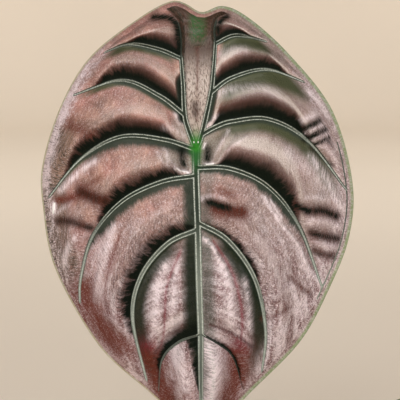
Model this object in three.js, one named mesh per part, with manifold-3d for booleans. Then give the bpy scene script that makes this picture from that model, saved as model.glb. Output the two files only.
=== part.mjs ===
// A potted alocasia with copper-coloured shield leaves: a plain clay pot, the potting mix, the plant's crown,
// and for each leaf a stalk and a quilted blade. Millimetres, +Z up, the origin at the centre of the pot's
// base, and the large front leaf facing -Y.
import * as THREE from "three";
import { mergeVertices } from "three/addons/utils/BufferGeometryUtils.js";
import Module from "manifold-3d";

const wasm = await Module();
wasm.setup();

// Driving dimensions of the pot, the mix and the crown
const GAP = 0.3; // between pieces that touch
const POT_HEIGHT = 135;
const POT_TOP_RADIUS = 75;
const POT_BASE_RADIUS = 52;
const POT_WALL = 5;
const POT_FLOOR = 7;
const COLLAR_HEIGHT = 26;
const COLLAR_DEPTH = 4.5;
const DRAIN_HOLES = 4;
const DRAIN_RADIUS = 5;
const DRAIN_CIRCLE = 27;
const ROUND_SIDES = 44;
const MIX_TOP = 116;
const MIX_RISE = 5; // how much higher the mix lies round the crown than at the wall
const CHIP_COUNT = 30;
const CROWN_RADIUS = 17.5;
const CROWN_FOOT = 92;
const CROWN_TOP = 134;

// Driving dimensions of a leaf of scale 1. Its own plane has the stalk's junction at the origin, x to the
// viewer's right, y towards the notch and z towards the viewer.
const BLADE_THICKNESS = 1.1;
const RIM_WIDTH = 3.6;
const RIM_CURL = 1.8; // how far the outermost edge rolls back
const PILLOW_SLOPE = 0.27; // height of the swelling between two veins, as a share of their distance
const PILLOW_LIMIT = 7;
const PILLOW_LEAN = 1.5; // above 1 moves the crest towards the lower vein
const PILLOW_FULLNESS = 0.75; // below 1 makes its sides steeper
const SPINE_EASE = 8; // the distance from midrib or strong vein over which it rises
const JUNCTION_DEPTH = 4.5;
const JUNCTION_SPREAD = 17;
const TIP = [3.4, -152];

// The margin, from the notch round the left side to the tip and up the right side
const MARGIN = [
  [2.8, 68.6], [-5.5, 73.2], [-13, 74.2], [-27.9, 66.3], [-52.1, 47.6], [-66.5, 24.5], [-77, -7], [-77, -29],
  [-70.4, -60.5], [-48.9, -98.5], [-23.5, -122.3], [-9, -137], TIP, [14.5, -137], [28, -122], [52.8, -96],
  [67.6, -68.5], [77.3, -42], [78.6, -15], [67.9, 20], [46, 48.3], [26.5, 66], [13.5, 72],
];
// The midrib down to where it forks near the tip, and its last stretch
const MIDRIB = [[0, 0], [0, -9], [0, -13], [0.8, -36], [0.9, -39.5], [1.6, -68], [2.4, -92]];
const MIDRIB_END = [[2.4, -92], [2.5, -120], [3.2, -146]];
// The places on the midrib that get a mark, as indices in it, and the steps of the mesh between them
const MIDRIB_MARKS = [0, 1, 2, 3, 4, 6];
const MIDRIB_STEPS = [3, 1, 3, 1, 4];
// Each half: the strong vein from the junction up into the lobe with its own marks and steps, and the side
// veins from the notch to the tip. A vein's root is counted in marks from the strong vein's end to the
// midrib's end.
const LEFT = {
  costa: [[0, 0], [-3.4, 8.7], [-5.6, 17], [-6.4, 32], [-7.4, 45]],
  marks: [0, 2, 4],
  steps: [4, 4],
  veins: [
    { root: 0, through: [[-7.2, 55], [-9.2, 64], [-15, 70]] },
    { root: 0, through: [[-18.6, 49.6], [-33, 52.4], [-46, 48.5]] },
    { root: 1, through: [[-18.3, 26.5], [-36.8, 34.2], [-61, 27]] },
    { root: 2, through: [[-15.8, 4.8], [-37.5, 6.1], [-57.2, -4.7], [-74, -24]] },
    { root: 4, through: [[-17.3, -16.2], [-36.3, -25.5], [-51.1, -42.4], [-57.6, -64], [-58.6, -77]] },
    { root: 6, through: [[-14.2, -46.6], [-27.2, -62.7], [-31.6, -84], [-26, -117.5]] },
    { root: 7, through: [[-9, -96], [-17, -105], [-19.2, -122]] },
  ],
};
const RIGHT = {
  costa: [[0, 0], [2.9, 7.4], [7.5, 28], [8.9, 41], [9.7, 52.5]],
  marks: [0, 1, 2, 4],
  steps: [2, 3, 3],
  veins: [
    { root: 0, through: [[8.8, 59], [10.4, 65], [16, 69]] },
    { root: 0, through: [[20, 56.7], [36, 54.5]] },
    { root: 1, through: [[18, 35.4], [35, 39.6], [55, 34.5]] },
    { root: 2, through: [[10, 11.2], [18.5, 13.8], [36, 14.8], [55.2, 4.6], [74, -20]] },
    { root: 4, through: [[16.9, -9.6], [35.6, -18.4], [51, -37.6], [64, -69.5]] },
    { root: 6, through: [[15.9, -45], [29.2, -64.1], [34.8, -90], [34, -112.5]] },
    { root: 8, through: [[11, -97], [18.5, -104], [23, -120]] },
  ],
};
// How finely the fans that start from one point are divided, and the strip between the strong veins, and how
// much closer the mesh's lines lie near a vein's root and near the veins
const FAN_STEPS = 3;
const STRIP_STEPS = 4;
const ROOT_CROWDING = 1.35;
const VEIN_CROWDING = 0.45;

// The leaves. junction is where the stalk meets the blade. facing turns the blade round Z, with 0 towards
// -Y, tilt raises its face and roll turns it in its own plane. dome, droop and wave are the bow of the blade
// across, along and at its edge, and along is the number of mesh steps along a vein. root is the stalk's
// place on the crown, in degrees round it, and thickness its radius at the blade.
const LEAVES = [
  { name: "front", junction: [0, -88, 402], facing: 0, tilt: 12, roll: 0, scale: 1, mirror: 1,
    dome: 9, droop: 17, wave: 0.8, along: 9, root: 268, thickness: 3.1 },
  { name: "left", junction: [-184, 22, 216], facing: -104, tilt: 24, roll: -14, scale: 0.86, mirror: -1,
    dome: 13, droop: 26, wave: 2, along: 8, root: 186, thickness: 2.8 },
  { name: "right", junction: [184, 36, 226], facing: 76, tilt: 22, roll: 10, scale: 0.82, mirror: 1,
    dome: 12, droop: 24, wave: 2, along: 8, root: 40, thickness: 2.7 },
  { name: "back", junction: [14, 132, 330], facing: 171, tilt: 20, roll: -6, scale: 0.72, mirror: -1,
    dome: 11, droop: 24, wave: 1.6, along: 7, root: 110, thickness: 2.5 },
  { name: "young", junction: [66, -92, 205], facing: 38, tilt: 34, roll: 8, scale: 0.52, mirror: 1,
    dome: 9, droop: 20, wave: 1, along: 6, root: 331, thickness: 2 },
];
const STALK_SIDES = 10;
const STALK_STEPS = 18;
const STALK_FOOT_RADIUS = 5.2;
const STALK_RING = 9.6; // distance of a stalk's foot from the crown's axis
const STALK_FOOT = 108;
const STALK_RISE = 0.6; // a stalk's rise that it makes almost upright
const STALK_LEAN = 0.03; // and how far it leans out by then
const STALK_ARRIVAL = 0.26; // how straight it comes to the blade, as a share of its rise
const SHEATH_SHARE = 0.34; // the part of a stalk that its sheath covers
const SHEATH_WING = 1.1;
const SHEATH_GROOVE = 1;

const COLOURS = {
  blade: { color: 0x8a5f57, roughness: 0.42, metalness: 0.55 },
  stalk: { color: 0x6f7a3c, roughness: 0.5, metalness: 0 },
  crown: { color: 0x7a6040, roughness: 0.8, metalness: 0 },
  mix: { color: 0x2b1d13, roughness: 0.95, metalness: 0 },
  pot: { color: 0xb5653f, roughness: 0.85, metalness: 0 },
};

const clamp = THREE.MathUtils.clamp;
const smooth = THREE.MathUtils.smoothstep;

// The same numbers each time, so that the chips always lie alike
function seededRandom(seed) {
  let state = seed;
  return () => {
    state = (state * 16807) % 2147483647;
    return state / 2147483647;
  };
}

function curveThrough(points, closed = false) {
  const curve = new THREE.CatmullRomCurve3(
    points.map(([x, y, z = 0]) => new THREE.Vector3(x, y, z)), closed, "catmullrom", 0.5);
  curve.arcLengthDivisions = 400;
  return curve;
}

function solidFrom(geometry) {
  const bare = geometry.index ? geometry.clone() : geometry;
  bare.deleteAttribute("normal");
  bare.deleteAttribute("uv");
  const merged = mergeVertices(bare, 1e-4);
  return new wasm.Manifold(new wasm.Mesh({
    numProp: 3,
    vertProperties: new Float32Array(merged.attributes.position.array),
    triVerts: new Uint32Array(merged.index.array),
  }));
}

function geometryFrom(solid) {
  const mesh = solid.getMesh();
  const geometry = new THREE.BufferGeometry();
  geometry.setAttribute("position", new THREE.BufferAttribute(mesh.vertProperties, 3));
  geometry.setIndex(new THREE.BufferAttribute(mesh.triVerts, 1));
  return geometry;
}

function named(name, geometry, look) {
  geometry.computeVertexNormals();
  const mesh = new THREE.Mesh(geometry, new THREE.MeshStandardMaterial(COLOURS[look]));
  mesh.name = name;
  return mesh;
}

// The blade's plan: its margin, the line just inside it, and its veins

const margin = curveThrough(MARGIN, true);
const tipPoint = new THREE.Vector3(...TIP, 0);

// The point of the line just inside the margin that belongs to the margin's point at u
function insideMargin(u) {
  const wrapped = THREE.MathUtils.euclideanModulo(u, 1);
  const at = margin.getPointAt(wrapped);
  const along = margin.getTangentAt(wrapped);
  const width = RIM_WIDTH * clamp(at.distanceTo(tipPoint) / 18, 0.2, 1);
  return new THREE.Vector3(at.x - along.y * width, at.y + along.x * width, 0);
}

// The margin's u whose inner point lies nearest to a vein's stated end
function nearestOnMargin([x, y]) {
  const trials = 900;
  let best = 0;
  let least = Infinity;
  for (let i = 0; i < trials; i++) {
    const away = insideMargin(i / trials).distanceTo(new THREE.Vector3(x, y, 0));
    if (away < least) {
      least = away;
      best = i / trials;
    }
  }
  return best;
}

// Points on a vein from its root, closer together near the root
function alongVein(root, through, end, steps) {
  const curve = curveThrough([[root.x, root.y], ...through.slice(0, -1), [end.x, end.y]]);
  return Array.from({ length: steps + 1 }, (_, i) => curve.getPointAt((i / steps) ** ROOT_CROWDING));
}

// An even share from 0 to 1, moved towards the nearer end
function crowded(even) {
  return even - (VEIN_CROWDING * Math.sin(2 * Math.PI * even)) / (2 * Math.PI);
}

// Points between the marks of a spine, with the stated number of steps in each stretch
function alongSpine(points, marks, steps) {
  const curve = curveThrough(points);
  const out = [curve.getPoint(0)];
  steps.forEach((count, k) => {
    const from = marks[k] / (points.length - 1);
    const to = marks[k + 1] / (points.length - 1);
    for (let i = 1; i <= count; i++) {
      out.push(curve.getPoint(from + ((to - from) * i) / count));
    }
  });
  return out;
}

// The blade's relief: the bow of the whole blade, before its swellings
function bowAt(x, y, leaf) {
  const across = leaf.dome * (x / 78) ** 2;
  const along = y > 0 ? 0.42 * leaf.droop * (y / 74) ** 2 : leaf.droop * (y / 150) ** 2;
  const funnel = JUNCTION_DEPTH * Math.exp(-(x * x + y * y) / JUNCTION_SPREAD ** 2);
  const away = smooth(Math.hypot(x / 78, (y + 38) / 112), 0.75, 1.05);
  const ripple = leaf.wave * away * Math.sin(7 * Math.atan2(y + 38, x) + leaf.scale * 9);
  return -across - along - funnel + ripple;
}

// The swelling between two veins at share t of the way from the upper to the lower one
function swelling(t, width, fromSpine, share) {
  const height = PILLOW_LIMIT * (1 - Math.exp((-PILLOW_SLOPE * width) / PILLOW_LIMIT));
  const across = Math.sin(Math.PI * clamp(t, 0, 1) ** PILLOW_LEAN) ** PILLOW_FULLNESS;
  const inner = 1 - Math.exp(-((fromSpine / SPINE_EASE) ** 1.4));
  const outer = (1 - share ** 5) ** 0.8;
  return height * Math.max(across, 0) * inner * Math.max(outer, 0);
}

// Builds one blade as a closed solid in its own plane
function bladeGeometry(leaf) {
  const top = [];
  const triangles = [];
  const add = (x, y, raised = 0) => top.push([x, y, bowAt(x, y, leaf) + raised]) - 1;
  const addPoint = (p) => add(p.x, p.y);

  // Two triangles on the corners a, b, c, d, which run round the square. turn is 1 if that is anticlockwise.
  const square = (a, b, c, d, turn) => {
    for (const [p, q, r] of [[a, b, c], [a, c, d]]) {
      if (p !== q && q !== r && p !== r) {
        triangles.push(turn > 0 ? [p, q, r] : [p, r, q]);
      }
    }
  };
  const grid = (rows, turn) => {
    for (let i = 0; i + 1 < rows.length; i++) {
      for (let j = 0; j + 1 < rows[i].length; j++) {
        square(rows[i][j], rows[i][j + 1], rows[i + 1][j + 1], rows[i + 1][j], turn);
      }
    }
  };

  const midrib = alongSpine(MIDRIB, MIDRIB_MARKS, MIDRIB_STEPS);
  const midribIds = midrib.map(addPoint);
  const tipU = nearestOnMargin(TIP);
  const tipVein = alongVein(midrib.at(-1), MIDRIB_END.slice(1), insideMargin(tipU), leaf.along);
  const tipIds = [midribIds.at(-1), ...tipVein.slice(1).map(addPoint)];

  // One half: its spine and veins as points and ids, in order from the notch to the tip
  const halfOf = (half) => {
    const costa = alongSpine(half.costa, half.marks, half.steps);
    const costaIds = [midribIds[0], ...costa.slice(1).map(addPoint)];
    const spine = [...costa].reverse().concat(midrib.slice(1));
    const spineIds = [...costaIds].reverse().concat(midribIds.slice(1));
    const marks = [0];
    [...[...half.steps].reverse(), ...MIDRIB_STEPS].forEach((count) => marks.push(marks.at(-1) + count));
    const veins = half.veins.map(({ root, through }) => {
      const u = nearestOnMargin(through.at(-1));
      const points = alongVein(spine[marks[root]], through, insideMargin(u), leaf.along);
      return { u, root: marks[root], points, ids: [spineIds[marks[root]], ...points.slice(1).map(addPoint)] };
    });
    veins.push({ u: tipU, root: spine.length - 1, points: tipVein, ids: tipIds });
    return { spine, spineIds, costaIds, veins };
  };
  const left = halfOf(LEFT);
  const right = halfOf(RIGHT);

  // The field between two neighbouring veins, blended from its four sides
  const field = (half, upper, lower, turn, outward) => {
    const fan = upper.root === lower.root;
    const steps = fan ? FAN_STEPS : lower.root - upper.root;
    const places = Array.from({ length: steps + 1 }, (_, j) => (fan ? upper.root : upper.root + j));
    const inner = places.map((k) => half.spine[k]);
    const innerIds = places.map((k) => half.spineIds[k]);
    const runs = [0];
    inner.slice(1).forEach((p, j) => runs.push(runs[j] + p.distanceTo(inner[j])));
    const innerShare = runs.map((run, j) => (fan ? j / steps : run / runs[steps]));
    let span = lower.u - upper.u;
    if (outward * span < 0) {
      span += outward;
    }
    const rows = [innerIds];
    for (let i = 1; i <= leaf.along; i++) {
      const a = upper.points[i];
      const b = lower.points[i];
      const s = (i / leaf.along) ** ROOT_CROWDING;
      const width = a.distanceTo(b);
      const fromSpine = (a.distanceTo(upper.points[0]) + b.distanceTo(lower.points[0])) / 2;
      const row = [upper.ids[i]];
      for (let j = 1; j < steps; j++) {
        const t = THREE.MathUtils.lerp(innerShare[j], crowded(j / steps), smooth(s, 0, 0.3));
        const c = inner[j];
        const d = insideMargin(upper.u + span * t);
        const [x, y] = ["x", "y"].map((k) =>
          (1 - t) * a[k] + t * b[k] + (1 - s) * c[k] + s * d[k] -
          ((1 - s) * ((1 - t) * inner[0][k] + t * inner[steps][k]) +
            s * ((1 - t) * upper.points[leaf.along][k] + t * lower.points[leaf.along][k])));
        row.push(add(x, y, i === leaf.along ? 0 : swelling(t, width, fromSpine, s)));
      }
      row.push(lower.ids[i]);
      rows.push(row);
    }
    grid(rows, turn);
    const us = rows[leaf.along].map((_, j) => upper.u + span * crowded(j / steps));
    return { ids: rows[leaf.along], us };
  };

  const edges = [];
  for (const [half, turn, outward] of [[left, -1, 1], [right, 1, -1]]) {
    for (let k = 0; k + 1 < half.veins.length; k++) {
      edges.push({ ...field(half, half.veins[k], half.veins[k + 1], turn, outward), outward });
    }
  }

  // The strip between the two strong veins, up to the notch, where the margin's u is 0
  const stretch = THREE.MathUtils.lerp;
  const leftSide = [...left.costaIds, ...left.veins[0].ids.slice(1)];
  const rightSide = [...right.costaIds, ...right.veins[0].ids.slice(1)];
  const notchUs = Array.from({ length: STRIP_STEPS + 1 }, (_, j) => {
    const side = (2 * j) / STRIP_STEPS - 1;
    return side < 0 ? -side * left.veins[0].u : 1 - side * (1 - right.veins[0].u);
  });
  const lastRow = leftSide.length - 1;
  const [lastLeft, lastRight] = [top[leftSide[lastRow]], top[rightSide[lastRow]]];
  const stripRows = leftSide.map((id, i) => {
    const row = [id];
    const [xl, yl] = top[id];
    const [xr, yr] = top[rightSide[i]];
    for (let j = 1; i > 0 && j < STRIP_STEPS; j++) {
      const t = j / STRIP_STEPS;
      const edge = insideMargin(notchUs[j]);
      const pull = (i / lastRow) ** 2;
      const x = stretch(xl, xr, t) + pull * (edge.x - stretch(lastLeft[0], lastRight[0], t));
      const y = stretch(yl, yr, t) + pull * (edge.y - stretch(lastLeft[1], lastRight[1], t));
      row.push(add(x, y, i === lastRow ? 0 : 0.1 * Math.abs(xr - xl)));
    }
    return [...row, rightSide[i]];
  });
  stripRows[0] = stripRows[1].map(() => midribIds[0]);
  grid(stripRows, 1);

  // The rolled rim outside the inner line, all the way round
  const loop = [];
  const follow = (ids, us) => ids.forEach((id, j) => {
    if (!loop.length || loop.at(-1).id !== id) {
      loop.push({ id, u: us[j] });
    }
  });
  const followBack = (ids, us) => follow([...ids].reverse(), [...us].reverse());
  followBack(stripRows.at(-1), notchUs);
  edges.filter((e) => e.outward > 0).forEach((e) => follow(e.ids, e.us));
  [...edges].reverse().filter((e) => e.outward < 0).forEach((e) => followBack(e.ids, e.us));
  if (loop.at(-1).id === loop[0].id) {
    loop.pop();
  }
  const rim = loop.map(({ u }) => {
    const p = margin.getPointAt(THREE.MathUtils.euclideanModulo(u, 1));
    return add(p.x, p.y, -RIM_CURL);
  });
  loop.forEach(({ id }, k) => {
    const next = (k + 1) % loop.length;
    square(id, rim[k], rim[next], loop[next].id, 1);
  });

  // The same triangles again as the underside, and a wall round the edge
  const positions = [...top, ...top.map(([x, y, z]) => [x, y, z - BLADE_THICKNESS / leaf.scale])].flat();
  const under = top.length;
  const faces = [];
  triangles.forEach(([a, b, c]) => faces.push(a, b, c, under + a, under + c, under + b));
  rim.forEach((a, k) => {
    const b = rim[(k + 1) % rim.length];
    faces.push(a, under + a, under + b, a, under + b, b);
  });
  const geometry = new THREE.BufferGeometry();
  geometry.setAttribute("position", new THREE.Float32BufferAttribute(positions, 3));
  geometry.setIndex(faces);
  geometry.scale(leaf.scale * leaf.mirror, leaf.scale, leaf.scale);
  if (leaf.mirror < 0) {
    const index = geometry.index.array;
    for (let i = 0; i < index.length; i += 3) {
      [index[i + 1], index[i + 2]] = [index[i + 2], index[i + 1]];
    }
  }
  return geometry;
}

// Placing the leaves: a group whose own axes are the blade's plane
function placeOf(leaf) {
  const place = new THREE.Group();
  place.position.set(...leaf.junction);
  place.rotation.order = "ZXY";
  place.rotation.z = THREE.MathUtils.degToRad(leaf.facing);
  place.rotation.x = THREE.MathUtils.degToRad(90 - leaf.tilt);
  return place;
}

// The line of a stalk, from its foot in the crown to just behind the blade's junction
function stalkCurve(leaf) {
  const place = placeOf(leaf);
  place.updateMatrixWorld(true);
  const angle = THREE.MathUtils.degToRad(leaf.root);
  const foot = new THREE.Vector3(STALK_RING * Math.cos(angle), STALK_RING * Math.sin(angle), STALK_FOOT);
  const normal = new THREE.Vector3(0, 0, 1).transformDirection(place.matrixWorld);
  const behind = BLADE_THICKNESS + JUNCTION_DEPTH * leaf.scale + GAP + 0.4;
  const end = new THREE.Vector3(...leaf.junction).addScaledVector(normal, -behind);
  const rise = end.z - foot.z;
  const rising = foot.clone().lerp(end, STALK_LEAN).setZ(foot.z + STALK_RISE * rise);
  const arriving = end.clone().addScaledVector(normal, -STALK_ARRIVAL * rise);
  return new THREE.CubicBezierCurve3(foot, rising, arriving, end);
}

// A stalk as a tapered sweep: round above, and below with a groove between the two wings of its sheath,
// which face the plant's middle. extra makes it stouter all round.
function stalkGeometry(leaf, extra = 0) {
  const curve = stalkCurve(leaf);
  const away = Math.atan2(leaf.junction[1], leaf.junction[0]);
  const sideways = new THREE.Vector3(-Math.sin(away), Math.cos(away), 0);
  const positions = [];
  const faces = [];
  for (let i = 0; i <= STALK_STEPS; i++) {
    const s = i / STALK_STEPS;
    const centre = curve.getPointAt(s);
    const tangent = curve.getTangentAt(s);
    const outer = sideways.clone().cross(tangent).normalize();
    const side = outer.clone().cross(tangent);
    const sheath = 1 - smooth(s, SHEATH_SHARE * 0.4, SHEATH_SHARE);
    const foot = STALK_FOOT_RADIUS * (0.55 + 0.45 * leaf.scale);
    const radius = THREE.MathUtils.lerp(foot * (0.86 + 0.14 * sheath), leaf.thickness, smooth(s, 0, 0.95));
    for (let j = 0; j < STALK_SIDES; j++) {
      const around = (2 * Math.PI * j) / STALK_SIDES;
      const wing = j === 1 || j === STALK_SIDES - 1 ? SHEATH_WING : 0;
      const groove = j === 0 ? SHEATH_GROOVE : 0;
      const reach = radius + sheath * (wing - groove) + extra;
      const p = centre.clone()
        .addScaledVector(outer, -Math.cos(around) * reach)
        .addScaledVector(side, Math.sin(around) * reach);
      positions.push(p.x, p.y, p.z);
    }
  }
  const at = (i, j) => i * STALK_SIDES + (j % STALK_SIDES);
  for (let i = 0; i < STALK_STEPS; i++) {
    for (let j = 0; j < STALK_SIDES; j++) {
      faces.push(at(i, j), at(i, j + 1), at(i + 1, j + 1), at(i, j), at(i + 1, j + 1), at(i + 1, j));
    }
  }
  for (let j = 1; j + 1 < STALK_SIDES; j++) {
    faces.push(at(0, 0), at(0, j + 1), at(0, j));
    faces.push(at(STALK_STEPS, 0), at(STALK_STEPS, j), at(STALK_STEPS, j + 1));
  }
  const geometry = new THREE.BufferGeometry();
  geometry.setAttribute("position", new THREE.Float32BufferAttribute(positions, 3));
  geometry.setIndex(faces);
  return geometry;
}

// The pot's inner radius at a height
function potInside(z) {
  const outside = THREE.MathUtils.lerp(POT_BASE_RADIUS, POT_TOP_RADIUS - COLLAR_DEPTH, z / POT_HEIGHT);
  return outside - POT_WALL;
}

function potGeometry() {
  const shoulder = POT_HEIGHT - COLLAR_HEIGHT;
  const body = potInside(shoulder) + POT_WALL;
  const profile = [
    [0, 0], [POT_BASE_RADIUS - 2, 0], [POT_BASE_RADIUS, 2], [body, shoulder - 3],
    [body + COLLAR_DEPTH - 1, shoulder], [POT_TOP_RADIUS, shoulder + 4], [POT_TOP_RADIUS, POT_HEIGHT - 3],
    [POT_TOP_RADIUS - 3, POT_HEIGHT], [POT_TOP_RADIUS - 6.5, POT_HEIGHT],
    [potInside(POT_HEIGHT - 4), POT_HEIGHT - 4], [potInside(POT_FLOOR + 4), POT_FLOOR + 4],
    [potInside(POT_FLOOR) - 4, POT_FLOOR], [0, POT_FLOOR],
  ].map(([r, z]) => new THREE.Vector2(r, z));
  const turned = new THREE.LatheGeometry(profile, ROUND_SIDES).rotateX(Math.PI / 2);
  let pot = solidFrom(turned);
  for (let k = 0; k < DRAIN_HOLES; k++) {
    const angle = (2 * Math.PI * (k + 0.5)) / DRAIN_HOLES;
    const drill = new THREE.CylinderGeometry(DRAIN_RADIUS, DRAIN_RADIUS, 4 * POT_FLOOR, 12);
    drill.rotateX(Math.PI / 2);
    drill.translate(DRAIN_CIRCLE * Math.cos(angle), DRAIN_CIRCLE * Math.sin(angle), 0);
    pot = pot.subtract(solidFrom(drill));
  }
  return geometryFrom(pot);
}

function mixHeight(x, y) {
  const r = Math.hypot(x, y);
  const mound = MIX_RISE * (1 - smooth(r, 12, 62));
  const waves = 1.1 * Math.sin(x * 0.21 + 1) * Math.cos(y * 0.17 - 0.6) + 0.6 * Math.sin(x * 0.43 - y * 0.37);
  return MIX_TOP + mound + waves;
}

function mixGeometry() {
  const low = POT_FLOOR + GAP;
  const rings = 7;
  const positions = [0, 0, mixHeight(0, 0), 0, 0, low];
  const faces = [];
  const at = (ring, j) => 2 + ring * ROUND_SIDES + (j % ROUND_SIDES);
  const edge = potInside(MIX_TOP) - GAP;
  for (let ring = 0; ring < rings; ring++) {
    for (let j = 0; j < ROUND_SIDES; j++) {
      const angle = (2 * Math.PI * j) / ROUND_SIDES;
      const r = (edge * (ring + 1)) / rings;
      const [x, y] = [r * Math.cos(angle), r * Math.sin(angle)];
      positions.push(x, y, ring === rings - 1 ? MIX_TOP - 1 : mixHeight(x, y));
    }
  }
  const foot = potInside(POT_FLOOR) - 4 - GAP;
  for (const [r, z] of [[potInside(POT_FLOOR + 4) - GAP, POT_FLOOR + 4], [foot, low]]) {
    for (let j = 0; j < ROUND_SIDES; j++) {
      const angle = (2 * Math.PI * j) / ROUND_SIDES;
      positions.push(r * Math.cos(angle), r * Math.sin(angle), z);
    }
  }
  for (let j = 0; j < ROUND_SIDES; j++) {
    faces.push(0, at(0, j), at(0, j + 1));
    for (let ring = 0; ring < rings + 1; ring++) {
      faces.push(at(ring, j), at(ring + 1, j), at(ring + 1, j + 1));
      faces.push(at(ring, j), at(ring + 1, j + 1), at(ring, j + 1));
    }
    faces.push(1, at(rings + 1, j + 1), at(rings + 1, j));
  }
  const geometry = new THREE.BufferGeometry();
  geometry.setAttribute("position", new THREE.Float32BufferAttribute(positions, 3));
  geometry.setIndex(faces);
  let mix = solidFrom(geometry);
  const random = seededRandom(41);
  for (let k = 0; k < CHIP_COUNT; k++) {
    const angle = 2.399963 * k + 0.5 * random();
    const r = THREE.MathUtils.lerp(CROWN_RADIUS + 7, edge - 9, Math.sqrt((k + 0.5) / CHIP_COUNT));
    const [x, y] = [r * Math.cos(angle), r * Math.sin(angle)];
    const chip = new THREE.BoxGeometry(7 + 6 * random(), 4 + 4 * random(), 5);
    chip.rotateX(0.5 * (random() - 0.5)).rotateY(0.5 * (random() - 0.5)).rotateZ(Math.PI * random());
    chip.translate(x, y, mixHeight(x, y) - 0.6);
    mix = mix.add(solidFrom(chip));
  }
  const socket = new THREE.CylinderGeometry(CROWN_RADIUS + GAP, CROWN_RADIUS + GAP, 80, 28);
  socket.rotateX(Math.PI / 2).translate(0, 0, CROWN_FOOT - GAP + 40);
  return geometryFrom(mix.subtract(solidFrom(socket)));
}

function crownGeometry() {
  const profile = [
    [0, CROWN_FOOT], [CROWN_RADIUS - 3, CROWN_FOOT], [CROWN_RADIUS, CROWN_FOOT + 4],
    [CROWN_RADIUS, CROWN_TOP - 12], [CROWN_RADIUS - 1.5, CROWN_TOP - 5], [CROWN_RADIUS - 6, CROWN_TOP - 1],
    [0, CROWN_TOP],
  ].map(([r, z]) => new THREE.Vector2(r, z));
  let crown = solidFrom(new THREE.LatheGeometry(profile, 24).rotateX(Math.PI / 2));
  LEAVES.forEach((leaf) => {
    crown = crown.subtract(solidFrom(stalkGeometry(leaf, GAP)));
  });
  const bySize = crown.decompose().sort((a, b) => b.volume() - a.volume());
  return geometryFrom(bySize[0]);
}

const plant = new THREE.Group();
plant.add(named("pot", potGeometry(), "pot"));
plant.add(named("potting_mix", mixGeometry(), "mix"));
plant.add(named("crown", crownGeometry(), "crown"));
LEAVES.forEach((leaf) => {
  plant.add(named(`stalk_${leaf.name}`, stalkGeometry(leaf), "stalk"));
  const place = placeOf(leaf);
  const blade = named(`blade_${leaf.name}`, bladeGeometry(leaf), "blade");
  blade.rotation.z = THREE.MathUtils.degToRad(leaf.roll);
  place.add(blade);
  plant.add(place);
});

export default plant;
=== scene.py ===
"""A potted alocasia on a plain stage: quilted shield leaves with a copper sheen and dark furrows, their
stalks, the crown, the potting mix and a plain clay pot.
"""

import math
import random

import bpy
import numpy as np
from bpy.props import FloatProperty, FloatVectorProperty, IntProperty, PointerProperty
from mathutils import Matrix, Vector


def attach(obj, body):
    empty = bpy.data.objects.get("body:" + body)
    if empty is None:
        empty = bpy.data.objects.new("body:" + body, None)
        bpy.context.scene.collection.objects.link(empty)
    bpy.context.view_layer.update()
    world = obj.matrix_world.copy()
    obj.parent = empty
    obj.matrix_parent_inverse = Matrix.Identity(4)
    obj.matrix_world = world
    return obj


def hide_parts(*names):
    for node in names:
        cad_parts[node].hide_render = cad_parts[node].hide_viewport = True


bl_info = {
    "name": "Potted alocasia",
    "version": (1, 0, 0),
    "blender": (4, 5, 0),
    "location": "3D View > Sidebar > Alocasia",
    "description": "Builds a potted alocasia with quilted copper-pink shield leaves",
    "category": "Add Mesh",
}

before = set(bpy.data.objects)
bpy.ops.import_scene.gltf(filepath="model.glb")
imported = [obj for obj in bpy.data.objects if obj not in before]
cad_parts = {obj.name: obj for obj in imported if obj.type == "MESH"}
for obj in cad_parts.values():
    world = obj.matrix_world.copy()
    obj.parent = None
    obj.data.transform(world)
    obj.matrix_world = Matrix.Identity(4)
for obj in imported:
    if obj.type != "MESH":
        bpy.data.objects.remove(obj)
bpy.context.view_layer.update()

MM = 0.001

# A leaf of scale 1 in its own plane, in millimetres: the stalk's junction is the origin, x runs to the
# viewer's right and y towards the notch. The CAD draws the same lines.
BLADE_THICKNESS = 1.1
BLADE_MIDDLE = (0, -38)
HALF_WIDTH = 78
HALF_LENGTH = 112
TO_TIP = 150
TO_NOTCH = 74
NOTCH_DROOP = 0.42  # the droop towards the notch, as a share of the droop towards the tip
EDGE_BULGE = 0.35
RIM_WIDTH = 3.6
RIM_CURL = 1.8
JUNCTION_DEPTH = 4.5
JUNCTION_SPREAD = 17
PILLOW_LEAN = 1.5  # above 1 moves the crest towards the lower vein
PILLOW_FULLNESS = 0.75  # below 1 makes its sides steeper
SPINE_EASE = 8  # the distance from midrib or strong vein over which it rises
TIP = (3.4, -152)
MARGIN = [
    (2.8, 68.6), (-5.5, 73.2), (-13, 74.2), (-27.9, 66.3), (-52.1, 47.6), (-66.5, 24.5), (-77, -7),
    (-77, -29), (-70.4, -60.5), (-48.9, -98.5), (-23.5, -122.3), (-9, -137), TIP, (14.5, -137), (28, -122),
    (52.8, -96), (67.6, -68.5), (77.3, -42), (78.6, -15), (67.9, 20), (46, 48.3), (26.5, 66), (13.5, 72),
]
MIDRIB = [(0, 0), (0, -9), (0, -13), (0.8, -36), (0.9, -39.5), (1.6, -68), (2.4, -92)]
MIDRIB_END = [(2.4, -92), (2.5, -120), (3.2, -146)]
MIDRIB_MARKS = [0, 1, 2, 3, 4, 6]
MIDRIB_STEPS = [20, 12, 28, 8, 40]
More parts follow.
